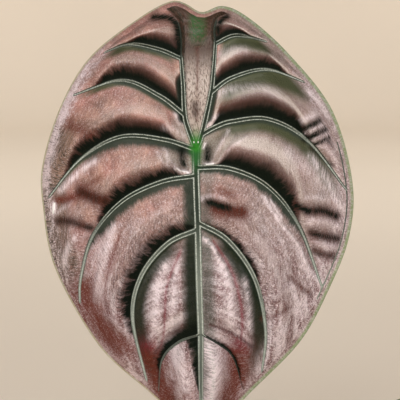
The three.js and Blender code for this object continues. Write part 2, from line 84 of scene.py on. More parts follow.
# Each half's strong vein and its side veins from the notch to the tip. root counts marks from the strong
# vein's end. dark is the width in mm of the dark furrow above a vein, whose near-black is partly the leaf's
# dark green and partly painted shade, and start and end are the shares of the vein it runs between. band is
# the width of the grey-green band below the vein and olive that of the olive slope below it. ragged is how
# torn the furrow's edge is near the root and near the margin, flush how red-brown the surface is beyond that
# edge, a red-brown that is partly painted shade, and line how pale the vein's lines are, a paleness that is
# partly painted highlight. reach is a vein's own REACH.
LEFT = {
    "strong": [(0, 0), (-3.4, 8.7), (-5.6, 17), (-6.4, 32), (-7.4, 45)],
    "marks": [0, 2, 4],
    "steps": [28, 24],
    "veins": [
        {"end": 0.8, "root": 0, "through": [(-7.2, 55), (-9.2, 64), (-15, 70)],
         "dark": 3.2, "start": 0, "band": 1.2, "olive": 0, "ragged": (0.05, 0.2), "flush": 0.9, "line": 0.12},
        {"end": 0.76, "root": 0, "through": [(-18.6, 49.6), (-33, 52.4), (-46, 48.5)],
         "dark": 6, "start": 0, "band": 2, "olive": 4, "ragged": (0.02, 0.25), "flush": 0.95, "line": 0.8},
        {"end": 0.84, "root": 1, "through": [(-18.3, 26.5), (-36.8, 34.2), (-61, 27)],
         "dark": 6.5, "start": 0.01, "band": 2.6, "olive": 3, "ragged": (0.03, 0.5), "flush": 0.95,
         "line": 0.9},
        {"end": 0.87, "root": 2, "through": [(-15.8, 4.8), (-37.5, 6.1), (-57.2, -4.7), (-74, -24)],
         "dark": 6.4, "start": 0.13, "band": 5.2, "olive": 2, "ragged": (0.05, 0.7), "flush": 0.95,
         "line": 1},
        {"end": 0.6, "root": 4,
         "through": [(-17.3, -16.2), (-36.3, -25.5), (-51.1, -42.4), (-57.6, -64), (-58.6, -77)],
         "dark": 6, "start": 0.08, "band": 5, "olive": 1, "ragged": (0.4, 0.75), "flush": 0.4, "line": 1},
        {"end": 0.78, "root": 6, "through": [(-14.2, -46.6), (-27.2, -62.7), (-31.6, -84), (-26, -117.5)],
         "dark": 6.5, "start": 0.01, "band": 2.4, "olive": 7, "ragged": (0.6, 0.8), "flush": 0.3, "line": 1},
        {"end": 0.8, "root": 7, "through": [(-9, -96), (-17, -105), (-19.2, -122)],
         "dark": 8.5, "start": 0, "band": 0.8, "olive": 0, "ragged": (0.12, 0.6), "flush": 0.6, "line": 0.22,
         "reach": [1, 0.8, 0.5, 0.3, 0.02]},
    ],
}
RIGHT = {
    "strong": [(0, 0), (2.9, 7.4), (7.5, 28), (8.9, 41), (9.7, 52.5)],
    "marks": [0, 1, 2, 4],
    "steps": [12, 24, 16],
    "veins": [
        {"end": 0.8, "root": 0, "through": [(8.8, 59), (10.4, 65), (16, 69)],
         "dark": 2.6, "start": 0, "band": 1.2, "olive": 0, "ragged": (0.05, 0.2), "flush": 0.9, "line": 0.12},
        {"end": 0.75, "root": 0, "through": [(20, 56.7), (36, 54.5)],
         "dark": 5, "start": 0, "band": 1.4, "olive": 7, "ragged": (0.02, 0.2), "flush": 0.95, "line": 0.8},
        {"end": 0.85, "root": 1, "through": [(18, 35.4), (35, 39.6), (55, 34.5)],
         "dark": 6.5, "start": 0.01, "band": 1.6, "olive": 9.5, "ragged": (0.03, 0.3), "flush": 1,
         "line": 0.9},
        {"end": 0.7, "root": 2, "through": [(10, 11.2), (18.5, 13.8), (36, 14.8), (55.2, 4.6), (74, -20)],
         "dark": 8, "start": 0.07, "band": 2.6, "olive": 7.5, "ragged": (0.05, 0.38), "flush": 1, "line": 1,
         "reach": [0.45, 0.8, 1, 0.5, 0.02]},
        {"end": 0.66, "root": 4, "through": [(16.9, -9.6), (35.6, -18.4), (51, -37.6), (64, -69.5)],
         "dark": 8, "start": 0.13, "band": 3.8, "olive": 1, "ragged": (0.12, 0.6), "flush": 0.8, "line": 1},
        {"end": 0.55, "root": 6, "through": [(15.9, -45), (29.2, -64.1), (34.8, -90), (34, -112.5)],
         "dark": 2.5, "start": 0.03, "band": 3, "olive": 8, "ragged": (0.9, 1), "flush": 0.3, "line": 1},
        {"end": 0.9, "root": 8, "through": [(11, -97), (18.5, -104), (23, -120)],
         "dark": 1.6, "start": 0, "band": 0.3, "olive": 0, "ragged": (0.5, 0.8), "flush": 0.4, "line": 0.1},
    ],
}
# The midrib's end counts as a last side vein of both halves
TIP_VEIN = {"end": 1, "dark": 0.1, "start": 0, "band": 0.1, "olive": 0, "ragged": (0.9, 0.9), "flush": 0,
            "line": 0.9}
# How far a furrow reaches from its vein at five shares of it, and how far its hairs lean towards the margin
REACH_AT = [0, 0.12, 0.4, 0.75, 1]
REACH = [0.45, 0.8, 1, 0.7, 0.08]
HAIR_LEAN = 0.3
# Half widths in mm of the raised veins: down the midrib, up a strong vein, at shares of a side vein, and of
# the vein along the right margin
MIDRIB_WIDTHS = ([0, 40, 92, 146], [1.9, 1.7, 1.45, 0.7])
STRONG_VEIN_WIDTHS = ([0, 50], [1.5, 0.9])
SIDE_VEIN_WIDTHS = ([0, 0.5, 1], [1.35, 0.95, 0.55])
MARGIN_VEIN_WIDTH = 0.35
# Widths in mm of the green band to the left of the midrib, at distances down it, and of the one outside a
# strong vein
MIDRIB_BAND = ([11, 17, 42, 56, 92, 97, 112, 125], [0.1, 6.4, 7, 8.2, 8.2, 6, 3.4, 0.1])
STRONG_VEIN_BAND = 3.4
# Where the midrib's line bends, for telling the left half from the right one
MIDRIB_BENDS = ([0, 92, 150], [0, 2.4, 3.2])
# The value of a furrow or a band far away from any
FAR = -2.5
# Steps of the mesh along a side vein, across the fans that start from one point, across the strip between the
# strong veins and across the rim, and above 1 how much closer the steps along a vein lie near its root
ALONG = 66
FAN_STEPS = 24
STRIP_STEPS = 12
RIM_STEPS = 5
ROOTWARD = 1.2
# How much the lines of a field crowd towards its veins, and how much less they do near the margin
CROWDING = 0.8
CROWDING_EASE = 0.5
TEXTURE_UNIT = 10  # mm to a unit of the blade's UV map

# Single ridges, dents and marks on the blade: the line they follow, their half width and their height in mm,
# and how much painted highlight, redness and painted shade they lay on the surface
TOUCHES = [
    ([(-50.5, -5.6), (-59, -12), (-68, -20.6)], 1.9, 0.7, 1.1, 0, 0),
    ([(-41, -38), (-46, -54), (-50, -72)], 2.4, 0.8, 1, 0, 0),
    ([(-37.5, -42), (-42, -56), (-46, -74)], 0.8, -0.4, 0, 0.9, 0),
    ([(-15, -57), (-19.5, -68), (-20.5, -88)], 2.3, 0.6, 0.95, 0, 0),
    ([(-9.5, -56), (-11, -72), (-12, -86)], 1.9, 0.6, 0.85, 0, 0),
    ([(-7.5, -50), (-14.3, -67), (-15.2, -82), (-17, -96), (-23, -106)], 0.7, -0.6, 0, 0.85, 0),
    ([(12, -55), (16.5, -69), (16.8, -86)], 2.7, 0.7, 1, 0, 0),
    ([(24, -64), (26.3, -77), (26.6, -90)], 1.5, 0.6, 0.95, 0, 0),
    ([(8.5, -45), (17.5, -60), (21.8, -75), (22.8, -88), (21.5, -98)], 0.8, -0.7, 0, 0.85, 0),
    ([(4, -44), (8, -48), (10.5, -53)], 1.2, 0.5, 1.1, 0, 0),
    ([(6, -97), (9, -110), (7.5, -128)], 5, 0.4, 1.32, 0, 0),
    ([(-12, -97), (-9, -105), (-5, -118)], 3.4, 0.4, 1.2, 0, 0),
    ([(-24, -101), (-20, -113), (-14, -126)], 7, -0.4, 0, 1.35, 0.25),
    ([(21, -100), (21, -113), (16, -126)], 7, -0.4, 0, 1.3, 0.2),
    ([(57, -4), (66, -16), (73, -30)], 2.2, 0.8, 1, 0, 0),
    ([(33.5, -23.5), (41, -35.5), (52.5, -49.5)], 1, 0.6, 1.15, 0, 0),
    ([(52.5, -51.5), (56, -59), (62.5, -68)], 1.2, 0.6, 1.2, 0, 0),
    ([(37, -25), (39.5, -29.5), (42.5, -33.5)], 0.8, 0.5, 1.1, 0, 0),
    ([(-15, 0.5), (-13, -5), (-10, -9.2)], 1.3, 0.7, 0.55, 0, 0),
    ([(-10, -9.6), (-7, -10.8), (-3.6, -11.4)], 0.9, 0.7, 1.5, 0, 0),
    ([(-7.2, -0.5), (-6, -7.5)], 2.6, -0.9, 0, 0, 1.05),
    ([(-19, -1), (-16, -6), (-13, -9)], 0.9, 0.5, 0.4, 0, 0),
    ([(5, -7.4), (8.6, -7.2)], 0.9, 0.6, 1.6, 0, 0),
    ([(8.4, -6), (11.5, 1), (16, 9)], 1.1, 0.7, 0.6, 0, 0),
    ([(11, -6), (17, 0.5), (25, 6)], 1, 0.6, 0.45, 0, 0),
    ([(9.8, -6), (14.5, 1), (20, 7)], 0.7, -0.6, 0, 0, 0.35),
    ([(5.6, 0), (5.8, -4.6)], 2.4, -0.9, 0, 0, 1.1),
    ([(4.4, 3), (3.6, 0.5)], 0.6, 0.3, 1.7, 0, 0),
    ([(5.5, 11), (8, 15), (12.5, 14.6)], 1.9, 0.3, 1.1, 0, 0),
    ([(-6.5, 6.5), (-11, 9), (-15, 9.5)], 2.2, 0.3, 0.55, 0, 0),
    ([(-7.5, 13), (-9.5, 17.5)], 1.7, 0.3, 0.8, 0, 0),
    ([(-6, 3.6), (-9, 4.4), (-12, 4.8)], 0.9, -0.3, 0, 0, 0.6),
    ([(-0.6, 22), (0, 17.5)], 1.8, -0.3, 0, 0.5, 0.75),
    ([(0.6, 14), (0.8, 30), (1.2, 50)], 0.6, -0.3, 0, 0.6, 0.3),
    ([(-21, 66), (-13.5, 65.6), (-9.6, 62), (-8.8, 55), (-8.4, 49)], 2.6, -0.5, 0, 0.5, 1.15),
    ([(15.5, 66.5), (12, 63.6), (10.8, 58)], 2.2, -0.5, 0, 0.5, 1.1),
    ([(51, 9), (56, 11.4), (61, 14.2)], 1.5, -0.9, 0, 0.3, 1.3),
    ([(54, 5), (59, 7.4), (64, 10)], 1.5, -0.9, 0, 0.3, 1.3),
    ([(58, 2), (62, 4), (66, 6)], 1, -0.8, 0, 0.3, 1.3),
    ([(50, 12.4), (55, 15), (59, 17.4)], 1.2, 0.6, 1.3, 0, 0),
    ([(53, 7.4), (57.6, 9.6), (62.5, 12.2)], 1, 0.5, 1.3, 0, 0),
    ([(57, 4.4), (61, 6.2), (65.5, 8.5)], 0.8, 0.5, 1.1, 0, 0),
    ([(56, 29), (61, 24), (66, 16)], 1.3, 0.3, 1.25, 0, 0),
    ([(20, 30), (30, 30.5), (40, 27)], 2.2, 0.2, 0.35, 0, 0),
    ([(11, 27), (15, 29), (20, 30)], 2.4, 0.2, 0.45, 0, 0),
    ([(12, 46), (17, 49), (24, 49)], 2.2, 0.2, 0.4, 0, 0),
    ([(46, -2), (56, -10), (64, -20)], 3.5, 0.3, 0.5, 0, 0),
    ([(2.5, -24.5), (8, -23.5), (14, -25)], 1.3, 0.5, 0.8, 0, 0),
    ([(-57, -20.8), (-50, -24), (-45, -25.6)], 3.1, -1, 0, 1.4, 0.85),
    ([(-69.5, -25), (-63, -24.4), (-57, -22.4)], 2.2, -0.6, 0, 1.3, 0.2),
    ([(-63, 12.5), (-57, 9.5), (-52, 7)], 2.8, -0.4, 0, 0.95, 0.2),
    ([(-70.8, -26.5), (-71.6, -32)], 1.3, 0.4, 1.7, 0, 0),
    ([(6.5, -26.2), (11.5, -28), (16, -29)], 2.5, -1, 0, 0.6, 1.2),
    ([(10, -29), (16, -30.6), (22.5, -31)], 3.6, -0.9, 0, 1.5, 0.55),
    ([(12, -20), (18, -23)], 2, -0.6, 0, 0.8, 0.2),
    ([(-69, -35.5), (-62, -35.8), (-52, -39)], 1.9, -0.8, 0, 1, 1),
    ([(49.5, -28), (56, -30.6), (62, -30.2), (70, -33)], 2.3, -1.2, 0, 1, 1.2),
    ([(-1, 3.4), (-1, 3.9)], 0.45, 0.2, 2, 0, 0),
    ([(1.1, 3.4), (1.1, 3.9)], 0.45, 0.2, 2, 0, 0),
    ([(56, -36.4), (64, -35.6), (71, -38)], 2.2, 0.8, 0.7, 0, 0),
    ([(57, -41.4), (64, -43.2), (71, -44.5)], 2.1, -1, 0, 1, 1.1),
    ([(60, -47), (66, -47.6), (71, -49.4)], 1.7, 0.6, 0.7, 0, 0),
    ([(58.5, -50.2), (63, -52), (69, -53.4)], 1.7, -0.8, 0, 1, 0.9),
    ([(53, -24), (60, -24), (66, -25)], 1.1, 0.6, 0.8, 0, 0),
    ([(-47, -14), (-55, -19), (-62, -25)], 1.4, -0.5, 0, 0.8, 0.2),
    ([(-62, -26), (-66, -29), (-71, -33)], 1.2, 0.5, 0.8, 0, 0),
    ([(-60, -44), (-64, -50), (-66, -58)], 1.6, 0.5, 0.9, 0, 0),
    ([(30, -44), (38, -56), (43, -70)], 2.4, 0.4, 0.6, 0, 0),
    ([(33, -84), (40, -82), (47, -78)], 1.2, -0.6, 0, 0.7, 0.2),
    ([(34, -74), (41, -72), (50, -66)], 1, 0.5, 0.8, 0, 0),
    ([(-36, -90), (-42, -84), (-50, -80)], 1.2, 0.5, 0.8, 0, 0),
    ([(-33, -98), (-38, -94), (-44, -88)], 1, -0.5, 0, 1, 0.1),
    ([(60, 2), (66, -1), (70, -6)], 1, 0.6, 0.7, 0, 0),
    ([(57, 1), (62, -3), (68, -8)], 0.9, -0.6, 0, 0.2, 0.9),
    ([(64, 5), (68, 2)], 0.9, -0.5, 0, 0.2, 0.8),
    ([(46, -63), (52, -68), (58, -73)], 1.2, -0.7, 0, 1, 0.4),
    ([(7, -87), (18, -91), (28, -98)], 0.8, -0.5, 0, 0.6, 0.6),
    ([(-57, -70), (-50, -85), (-39, -99)], 8, -0.3, 0, 1.25, 0.12),
]

# The leaves, as the CAD places them, with how finely each is divided and how strong its touches are
LEAVES = [
    {"name": "front", "junction": (0, -88, 402), "facing": 0, "tilt": 12, "roll": 0, "scale": 1,
     "mirror": 1, "dome": 9, "droop": 17, "wave": 0.8, "root": 268, "thickness": 3.1, "detail": 1.25,
     "touch": 1},
    {"name": "left", "junction": (-184, 22, 216), "facing": -104, "tilt": 24, "roll": -14, "scale": 0.86,
     "mirror": -1, "dome": 13, "droop": 26, "wave": 2, "root": 186, "thickness": 2.8, "detail": 0.75,
     "touch": 0.7},
    {"name": "right", "junction": (184, 36, 226), "facing": 76, "tilt": 22, "roll": 10, "scale": 0.82,
     "mirror": 1, "dome": 12, "droop": 24, "wave": 2, "root": 40, "thickness": 2.7, "detail": 0.75,
     "touch": 0.7},
    {"name": "back", "junction": (14, 132, 330), "facing": 171, "tilt": 20, "roll": -6, "scale": 0.72,
     "mirror": -1, "dome": 11, "droop": 24, "wave": 1.6, "root": 110, "thickness": 2.5, "detail": 0.5,
     "touch": 0.6},
    {"name": "young", "junction": (66, -92, 205), "facing": 38, "tilt": 34, "roll": 8, "scale": 0.52,
     "mirror": 1, "dome": 9, "droop": 20, "wave": 1, "root": 331, "thickness": 2, "detail": 0.5,
     "touch": 0.5},
]
# The stalks, the crown, the mix and the pot, as in the CAD, in millimetres
STALK_FOOT = 108
STALK_RING = 9.6
STALK_FOOT_RADIUS = 5.2
STALK_CLEARANCE = 0.7
STALK_RUN_IN = 0.8
SHEATH_SHARE = 0.34
CROWN_RADIUS = 17.5
CROWN_FOOT = 92
CROWN_TOP = 134
CROWN_SIDES = 72
SHEATHS = 7
SHEATH_FOOT = 113
SHEATH_THICKNESS = 0.5
MIX_TOP = 116
MIX_RISE = 5
POT_HEIGHT = 135
POT_TOP_RADIUS = 75
POT_BASE_RADIUS = 52
POT_WALL = 5
POT_FLOOR = 7
COLLAR_HEIGHT = 26
COLLAR_DEPTH = 4.5
DRAIN_HOLES = 4
DRAIN_RADIUS = 5
DRAIN_CIRCLE = 27
DRAIN_DEPTH = 30
DRAIN_SIDES = 32
POT_BEVEL = 0.9
GROUND_SIDES = 128
GROUND_RINGS = 46
# The stage, in metres: a round floor with a cove up to a wall, and the camera's distance and lens
FLOOR_RADIUS = 3.2
FLOOR_SIDES = 96
COVE_RADIUS = 0.9
COVE_STEPS = 12
WALL_HEIGHT = 3
CAMERA_AIM = (2, -25, 0)  # on the front blade, in mm
CAMERA_AWAY = 0.42
LENS = 77


def colour(name, text, value):
    """A colour setting"""
    return FloatVectorProperty(
        name=name, description=text, subtype="COLOR", size=3, min=0, max=1, default=value)


def length(name, text, value, low, high):
    """A length setting, given in mm"""
    return FloatProperty(name=name, description=text, unit="LENGTH", precision=5, default=value * MM,
                         min=low * MM, max=high * MM)


def power(name, text, value):
    """A lamp's power setting"""
    return FloatProperty(name=name, description=text, unit="POWER", default=value, min=0)


class BladeSettings(bpy.types.PropertyGroup):
    """Sizes and colours of the blades"""
    thickness: length("Thickness", "Thickness of a blade of scale 1", BLADE_THICKNESS, 0.6, 3)
    pillow_slope: FloatProperty(
        name="Pillow slope", description="Height of a swelling as a share of the distance between its veins",
        subtype="FACTOR", default=0.27, min=0, max=0.6)
    pillow_limit: length("Pillow limit", "Greatest height of a swelling", 7, 0, 15)
    crumple: length("Crumple", "Height of the fine creases", 0.35, 0, 2)
    copper: colour("Copper", "Colour of the swellings", (0.47, 0.28, 0.226))
    copper_dim: colour("Dim copper", "Colour of the swellings where they are duller", (0.29, 0.175, 0.145))
    # Lilac: a painted silvery sheen on the swellings towards the tip and the margin
    lilac_sheen: colour("Lilac", "Colour of the swellings towards the tip and the margin", (0.44, 0.34, 0.36))
    # The gleam is a painted highlight: the colour of painted shine on ridges and of painted glints
    painted_gleam: colour("Gleam", "Colour of the shiny ridges", (0.86, 0.76, 0.8))
    flush: colour("Flush", "Red-brown of creases and corners", (0.145, 0.03, 0.017))
    # Dark brown beside the furrows: partly the leaf's red-brown, partly painted shade on the slope into them
    brown_and_shade: colour("Brown", "Dark brown beside the furrows", (0.06, 0.024, 0.018))
    # Near-black of the furrows: partly the leaf's dark green, partly painted shade on slopes that face down
    furrow: colour("Furrow", "Near-black green of the furrows", (0.003, 0.006, 0.003))
    band: colour("Band", "Grey-green below each vein", (0.03, 0.042, 0.03))
    olive: colour("Olive", "Olive green of the upper slopes", (0.056, 0.066, 0.03))
    grey: colour("Grey-green", "Greyish green along the midrib", (0.105, 0.115, 0.1))
    vein: colour("Vein", "Body of a vein", (0.03, 0.042, 0.03))
    # Pale vein lines: partly the veins' paler green, partly painted highlights on the cords' edges
    vein_line_and_glint: colour("Vein line", "Pale lines along a vein", (0.6, 0.65, 0.58))
    rim: colour("Rim", "Green of the blade's edge", (0.33, 0.45, 0.24))
    # Junction green: partly the leaf's green, partly painted light shining through from the stalk
    core: colour("Junction", "Bright green where the stalk meets the blade", (0.03, 0.2, 0.02))
    under: colour("Underside", "Maroon of the underside", (0.12, 0.03, 0.035))
    under_vein: colour("Underside vein", "Veins on the underside", (0.26, 0.24, 0.12))


class StalkSettings(bpy.types.PropertyGroup):
    """Sizes and colours of the stalks and the crown"""
    sides: IntProperty(name="Sides", description="Sides of a stalk", default=32, min=8, max=64)
    steps: IntProperty(name="Steps", description="Rings along a stalk", default=110, min=20, max=300)
    green: colour("Green", "Colour of a stalk", (0.16, 0.2, 0.06))
    flush: colour("Flush", "Red-brown flecks of a stalk", (0.16, 0.05, 0.03))
    husk: colour("Husk", "Colour of the dry sheaths round the crown", (0.24, 0.15, 0.07))


class PotSettings(bpy.types.PropertyGroup):
    """Colours of the pot and the mix, and how much is scattered on it"""
    sides: IntProperty(name="Sides", description="Sides of the pot", default=128, min=32, max=256)
    clay: colour("Clay", "Colour of the clay", (0.5, 0.2, 0.1))
    bloom: colour("Bloom", "Pale mineral bloom on the clay", (0.62, 0.42, 0.3))
    chips: IntProperty(name="Chips", description="Number of bark chips", default=420, min=0, max=1000)
    grains: IntProperty(name="Grains", description="Number of pale grains", default=90, min=0, max=400)
    soil: colour("Mix", "Colour of the mix", (0.025, 0.016, 0.01))
    bark: colour("Bark", "Colour of the bark", (0.11, 0.05, 0.025))
    grain: colour("Grain", "Colour of the pale grains", (0.62, 0.6, 0.55))


class StageSettings(bpy.types.PropertyGroup):
    """Colours and light of the stage"""
    floor: colour("Floor", "Colour of the floor and the backdrop", (0.86, 0.78, 0.68))
    key: power("Key", "Power of the key light", 55)
    fill: power("Fill", "Power of the fill light", 19)
    low: power("Low", "Power of the low front light", 11)
    back: power("Back", "Power of each light on the backdrop", 14)
    world: FloatProperty(name="World", description="Strength of the surrounding light", default=0.2, min=0)


# Lines and fields of a blade

class Curve:
    """A smooth line through points, drawn as the CAD draws it"""

    def __init__(self, points, closed=False):
        points = np.array(points, dtype=float)
        self.spans = len(points) - (0 if closed else 1)
        if closed:
            before, after = points[-1:], points[:2]
        else:
            before, after = 2 * points[:1] - points[1:2], 2 * points[-1:] - points[-2:-1]
        self.points = np.vstack([before, points, after])
        self.share = np.linspace(0, 1, 3001)
        steps = np.linalg.norm(np.diff(self.point(self.share), axis=0), axis=1)
        self.run = np.concatenate([[0], np.cumsum(steps)])
        self.length = self.run[-1]
        self.run /= self.length

    def point(self, share):
        """The places at shares of the number of stretches"""
        along = np.clip(np.atleast_1d(share), 0, 1) * self.spans
        k = np.minimum(along.astype(int), self.spans - 1)
        w = (along - k)[:, None]
        a, b, c, d = (self.points[k + i] for i in range(4))
        bend, twist = 2 * a - 5 * b + 4 * c - d, 3 * b - a - 3 * c + d
        return 0.5 * (2 * b + (c - a) * w + bend * w**2 + twist * w**3)

    def at(self, run):
        """The places at shares of the length"""
        return self.point(np.interp(run, self.run, self.share))


MARGIN_LINE = Curve(MARGIN, closed=True)


def smooth(x, low, high):
    """From 0 at low to 1 at high, eased at both ends"""
    x = np.clip((np.asarray(x, dtype=float) - low) / (high - low), 0, 1)
    return x * x * (3 - 2 * x)


def inside_margin(u, width=RIM_WIDTH):
    """The points that lie width inside the margin at its shares u, closer near the tip"""
    u = np.atleast_1d(np.asarray(u, dtype=float))
    at = MARGIN_LINE.at(u % 1)
    along = MARGIN_LINE.at((u + 0.0006) % 1) - MARGIN_LINE.at((u - 0.0006) % 1)
    along /= np.linalg.norm(along, axis=1)[:, None]
    reach = width * np.clip(np.linalg.norm(at - TIP, axis=1) / 18, 0.2, 1)
    return at + reach[:, None] * np.stack([-along[:, 1], along[:, 0]], 1)


def nearest_on_margin(point):
    """The share of the margin whose inner line is nearest to a point"""
    u = np.arange(1800) / 1800
    return u[np.argmin(np.linalg.norm(inside_margin(u) - point, axis=1))]


def follow(points, line):
    """Each point's distance from a line of straight stretches, and how far along it the nearest place is"""
    start, stretch = line[:-1], np.diff(line, axis=0)
    square = np.maximum((stretch * stretch).sum(-1), 1e-12)
    length = np.sqrt(square)
    begun = np.concatenate([[0], np.cumsum(length)[:-1]])
    away_all, run_all = [], []
    for part in np.array_split(points, max(1, len(points) * len(stretch) // 2000000 + 1)):
        from_start = part[:, None] - start
        share = np.clip((from_start * stretch).sum(-1) / square, 0, 1)
        away = np.linalg.norm(from_start - share[..., None] * stretch, axis=2)
        nearest = away.argmin(1)
        each = np.arange(len(part))
        away_all.append(away[each, nearest])
        run_all.append(begun[nearest] + (share * length)[each, nearest])
    return np.concatenate(away_all), np.concatenate(run_all)


def distance_to(points, line):
    """Each point's distance from a line of straight stretches"""
    return follow(points, line)[0]


def noise(x, y, seed):
    """Smooth noise from -1 to 1 on a plane, with features about one unit apart"""
    table = np.random.RandomState(seed).rand(256, 256) * 2 - 1
    ix, iy = np.floor(x).astype(int), np.floor(y).astype(int)
    fx, fy = x - ix, y - iy
    fx, fy = fx * fx * (3 - 2 * fx), fy * fy * (3 - 2 * fy)

    def corner(i, j):
        return table[(ix + i) % 256, (iy + j) % 256]

    low = corner(0, 0) * (1 - fx) + corner(1, 0) * fx
    high = corner(0, 1) * (1 - fx) + corner(1, 1) * fx
    return low * (1 - fy) + high * fy


def backwards(edge):
    """A field's outer edge from its end to its start: numbers of points and shares of the margin"""
    ids, shares = edge
    return ids[::-1], shares[::-1]


class Plan:
    """The upper face of a blade in its plane: points, squares, and what the relief and the colours follow"""

    def __init__(self, detail, settings):
        self.settings = settings
        self.detail = detail
        self.along = round(ALONG * detail)
        self.fan = round(FAN_STEPS * detail)
        self.parts = []
        self.count = 0
        self.squares = []
        self.uvs = []
        self.fields = []
        self.build()

    def scaled(self, steps):
        """Numbers of steps at this plan's detail"""
        return [round(n * self.detail) for n in steps]

    def add(self, points):
        """Keeps points and gives their numbers"""
        ids = np.arange(self.count, self.count + len(points))
        self.parts.append(points)
        self.count += len(points)
        return ids

    def grid(self, rows, uv, turn):
        """Squares between rows of points, with triangles where two of their points are one"""
        a, b, c, d = rows[:-1, :-1], rows[:-1, 1:], rows[1:, 1:], rows[1:, :-1]
        p, q, r, s = uv[:-1, :-1], uv[:-1, 1:], uv[1:, 1:], uv[1:, :-1]
        order = (0, 1, 2, 3) if turn > 0 else (0, 3, 2, 1)
        squares = np.stack([(a, b, c, d)[k] for k in order], -1).reshape(-1, 4)
        corners = np.stack([(p, q, r, s)[k] for k in order], -2).reshape(-1, 4, 2)
        for square, corner in zip(squares.tolist(), corners.tolist()):
            kept = [k for k in range(4) if square[k] != square[k - 1]]
            self.squares.append([square[k] for k in kept])
            self.uvs.extend(corner[k] for k in kept)

    def along_spine(self, points, marks, steps):
        """Points along a curve, with a number of steps between each two marks"""
        curve = Curve(points)
        share = [0]
        for count, low, high in zip(steps, marks, marks[1:]):
            share.extend(np.linspace(low, high, count + 1)[1:])
        return curve.point(np.array(share) / (len(points) - 1))

    def along_vein(self, root, through, end):
        """Points along a vein, closer near its root"""
        curve = Curve([root, *through[:-1], end])
        return curve.at((np.arange(self.along + 1) / self.along) ** ROOTWARD)

    def half(self, half):
        """One half's spine and veins, as points and as numbers of points, from the notch to the tip"""
        steps = self.scaled(half["steps"])
        strong = self.along_spine(half["strong"], half["marks"], steps)
        strong_ids = np.concatenate([self.midrib_ids[:1], self.add(strong[1:])])
        spine = np.vstack([strong[::-1], self.midrib[1:]])
        spine_ids = np.concatenate([strong_ids[::-1], self.midrib_ids[1:]])
        marks = np.concatenate([[0], np.cumsum(steps[::-1] + self.scaled(MIDRIB_STEPS))])
        veins = []
        for vein in half["veins"]:
            u = nearest_on_margin(vein["through"][-1])
            root = marks[vein["root"]]
            points = self.along_vein(spine[root], vein["through"], inside_margin(u)[0])
            ids = np.concatenate([spine_ids[root : root + 1], self.add(points[1:])])
            veins.append({**vein, "u": u, "root": root, "points": points, "ids": ids})
        last = {"u": self.tip_u, "root": len(spine) - 1, "points": self.tip, "ids": self.tip_ids}
        veins.append({**TIP_VEIN, **last})
        return {"spine": spine, "spine_ids": spine_ids, "strong": strong, "strong_ids": strong_ids,
                "veins": veins}

    def field(self, half, upper, lower, turn):
        """The field between two neighbouring veins, blended from its four sides"""
        fan = upper["root"] == lower["root"]
        steps = self.fan if fan else lower["root"] - upper["root"]
        pick = np.full(steps + 1, upper["root"]) if fan else np.arange(upper["root"], lower["root"] + 1)
        inner, even = half["spine"][pick], np.arange(steps + 1) / steps
        run = np.concatenate([[0], np.cumsum(np.linalg.norm(np.diff(inner, axis=0), axis=1))])
        inner_share = even if fan else run / run[-1]
        span = lower["u"] - upper["u"]
        outward = -turn
        if outward * span < 0:
            span += outward
        s = ((np.arange(self.along + 1) / self.along) ** ROOTWARD)[:, None]
        mix = smooth(s, 0, 0.3)
        crowded = CROWDING - CROWDING_EASE * smooth(s, 0.4, 0.75)
        t = (1 - mix) * inner_share + mix * (even - crowded * np.sin(2 * np.pi * even) / (2 * np.pi))
        a, b = upper["points"][:, None], lower["points"][:, None]
        outer_all = inside_margin((upper["u"] + span * t).ravel()).reshape(*t.shape, 2)
        tt, ss = t[..., None], s[..., None]
        corners = (1 - ss) * ((1 - tt) * inner[0] + tt * inner[-1]) + ss * ((1 - tt) * a[-1] + tt * b[-1])
        points = (1 - tt) * a + tt * b + (1 - ss) * inner + ss * outer_all - corners
        rows = np.empty(t.shape, dtype=int)
        rows[0] = half["spine_ids"][pick]
        rows[:, 0], rows[:, -1] = upper["ids"], lower["ids"]
        if fan:
            rows[0] = upper["ids"][0]
        rows[1:, 1:-1] = self.add(points[1:, 1:-1].reshape(-1, 2)).reshape(self.along, steps - 1)
        width = np.linalg.norm(a - b, axis=2)
        from_spine = (np.linalg.norm(a - a[0], axis=2) + np.linalg.norm(b - b[0], axis=2)) / 2
        # The texture runs along the lower vein and away from it, in cm, and leans outward as the hairs do
        down, run = (part.reshape(t.shape) for part in follow(points.reshape(-1, 2), lower["points"]))
        even_run = s * np.linalg.norm(np.diff(lower["points"], axis=0), axis=1).sum()
        run = even_run + smooth(down, 16, 6) * (run - even_run) - HAIR_LEAN * down
        uv = np.stack([run / TEXTURE_UNIT, down / TEXTURE_UNIT + 5 * len(self.fields)], -1)
        self.grid(rows, uv, turn)
        self.fields.append({"rows": rows, "s": s, "t": t, "width": width, "from_spine": from_spine,
                            "upper": upper, "lower": lower})
        return rows[-1], upper["u"] + span * t[-1]

    def build(self):
        """Lays out the fields, the strip between the strong veins and the rim, and measures them"""
        self.midrib = self.along_spine(MIDRIB, MIDRIB_MARKS, self.scaled(MIDRIB_STEPS))
        self.midrib_ids = self.add(self.midrib)
        self.tip_u = nearest_on_margin(TIP)
        self.tip = self.along_vein(self.midrib[-1], MIDRIB_END[1:], inside_margin(self.tip_u)[0])
        self.tip_ids = np.concatenate([self.midrib_ids[-1:], self.add(self.tip[1:])])
        left, right = self.half(LEFT), self.half(RIGHT)
        edges = {1: [], -1: []}
        for half, turn in ((left, -1), (right, 1)):
            for upper, lower in zip(half["veins"], half["veins"][1:]):
                edges[turn].append(self.field(half, upper, lower, turn))
        notch = self.add_strip(left, right)
        self.add_rim([backwards(notch), *edges[-1], *map(backwards, reversed(edges[1]))])
        self.xy = np.vstack(self.parts)
        self.measure()

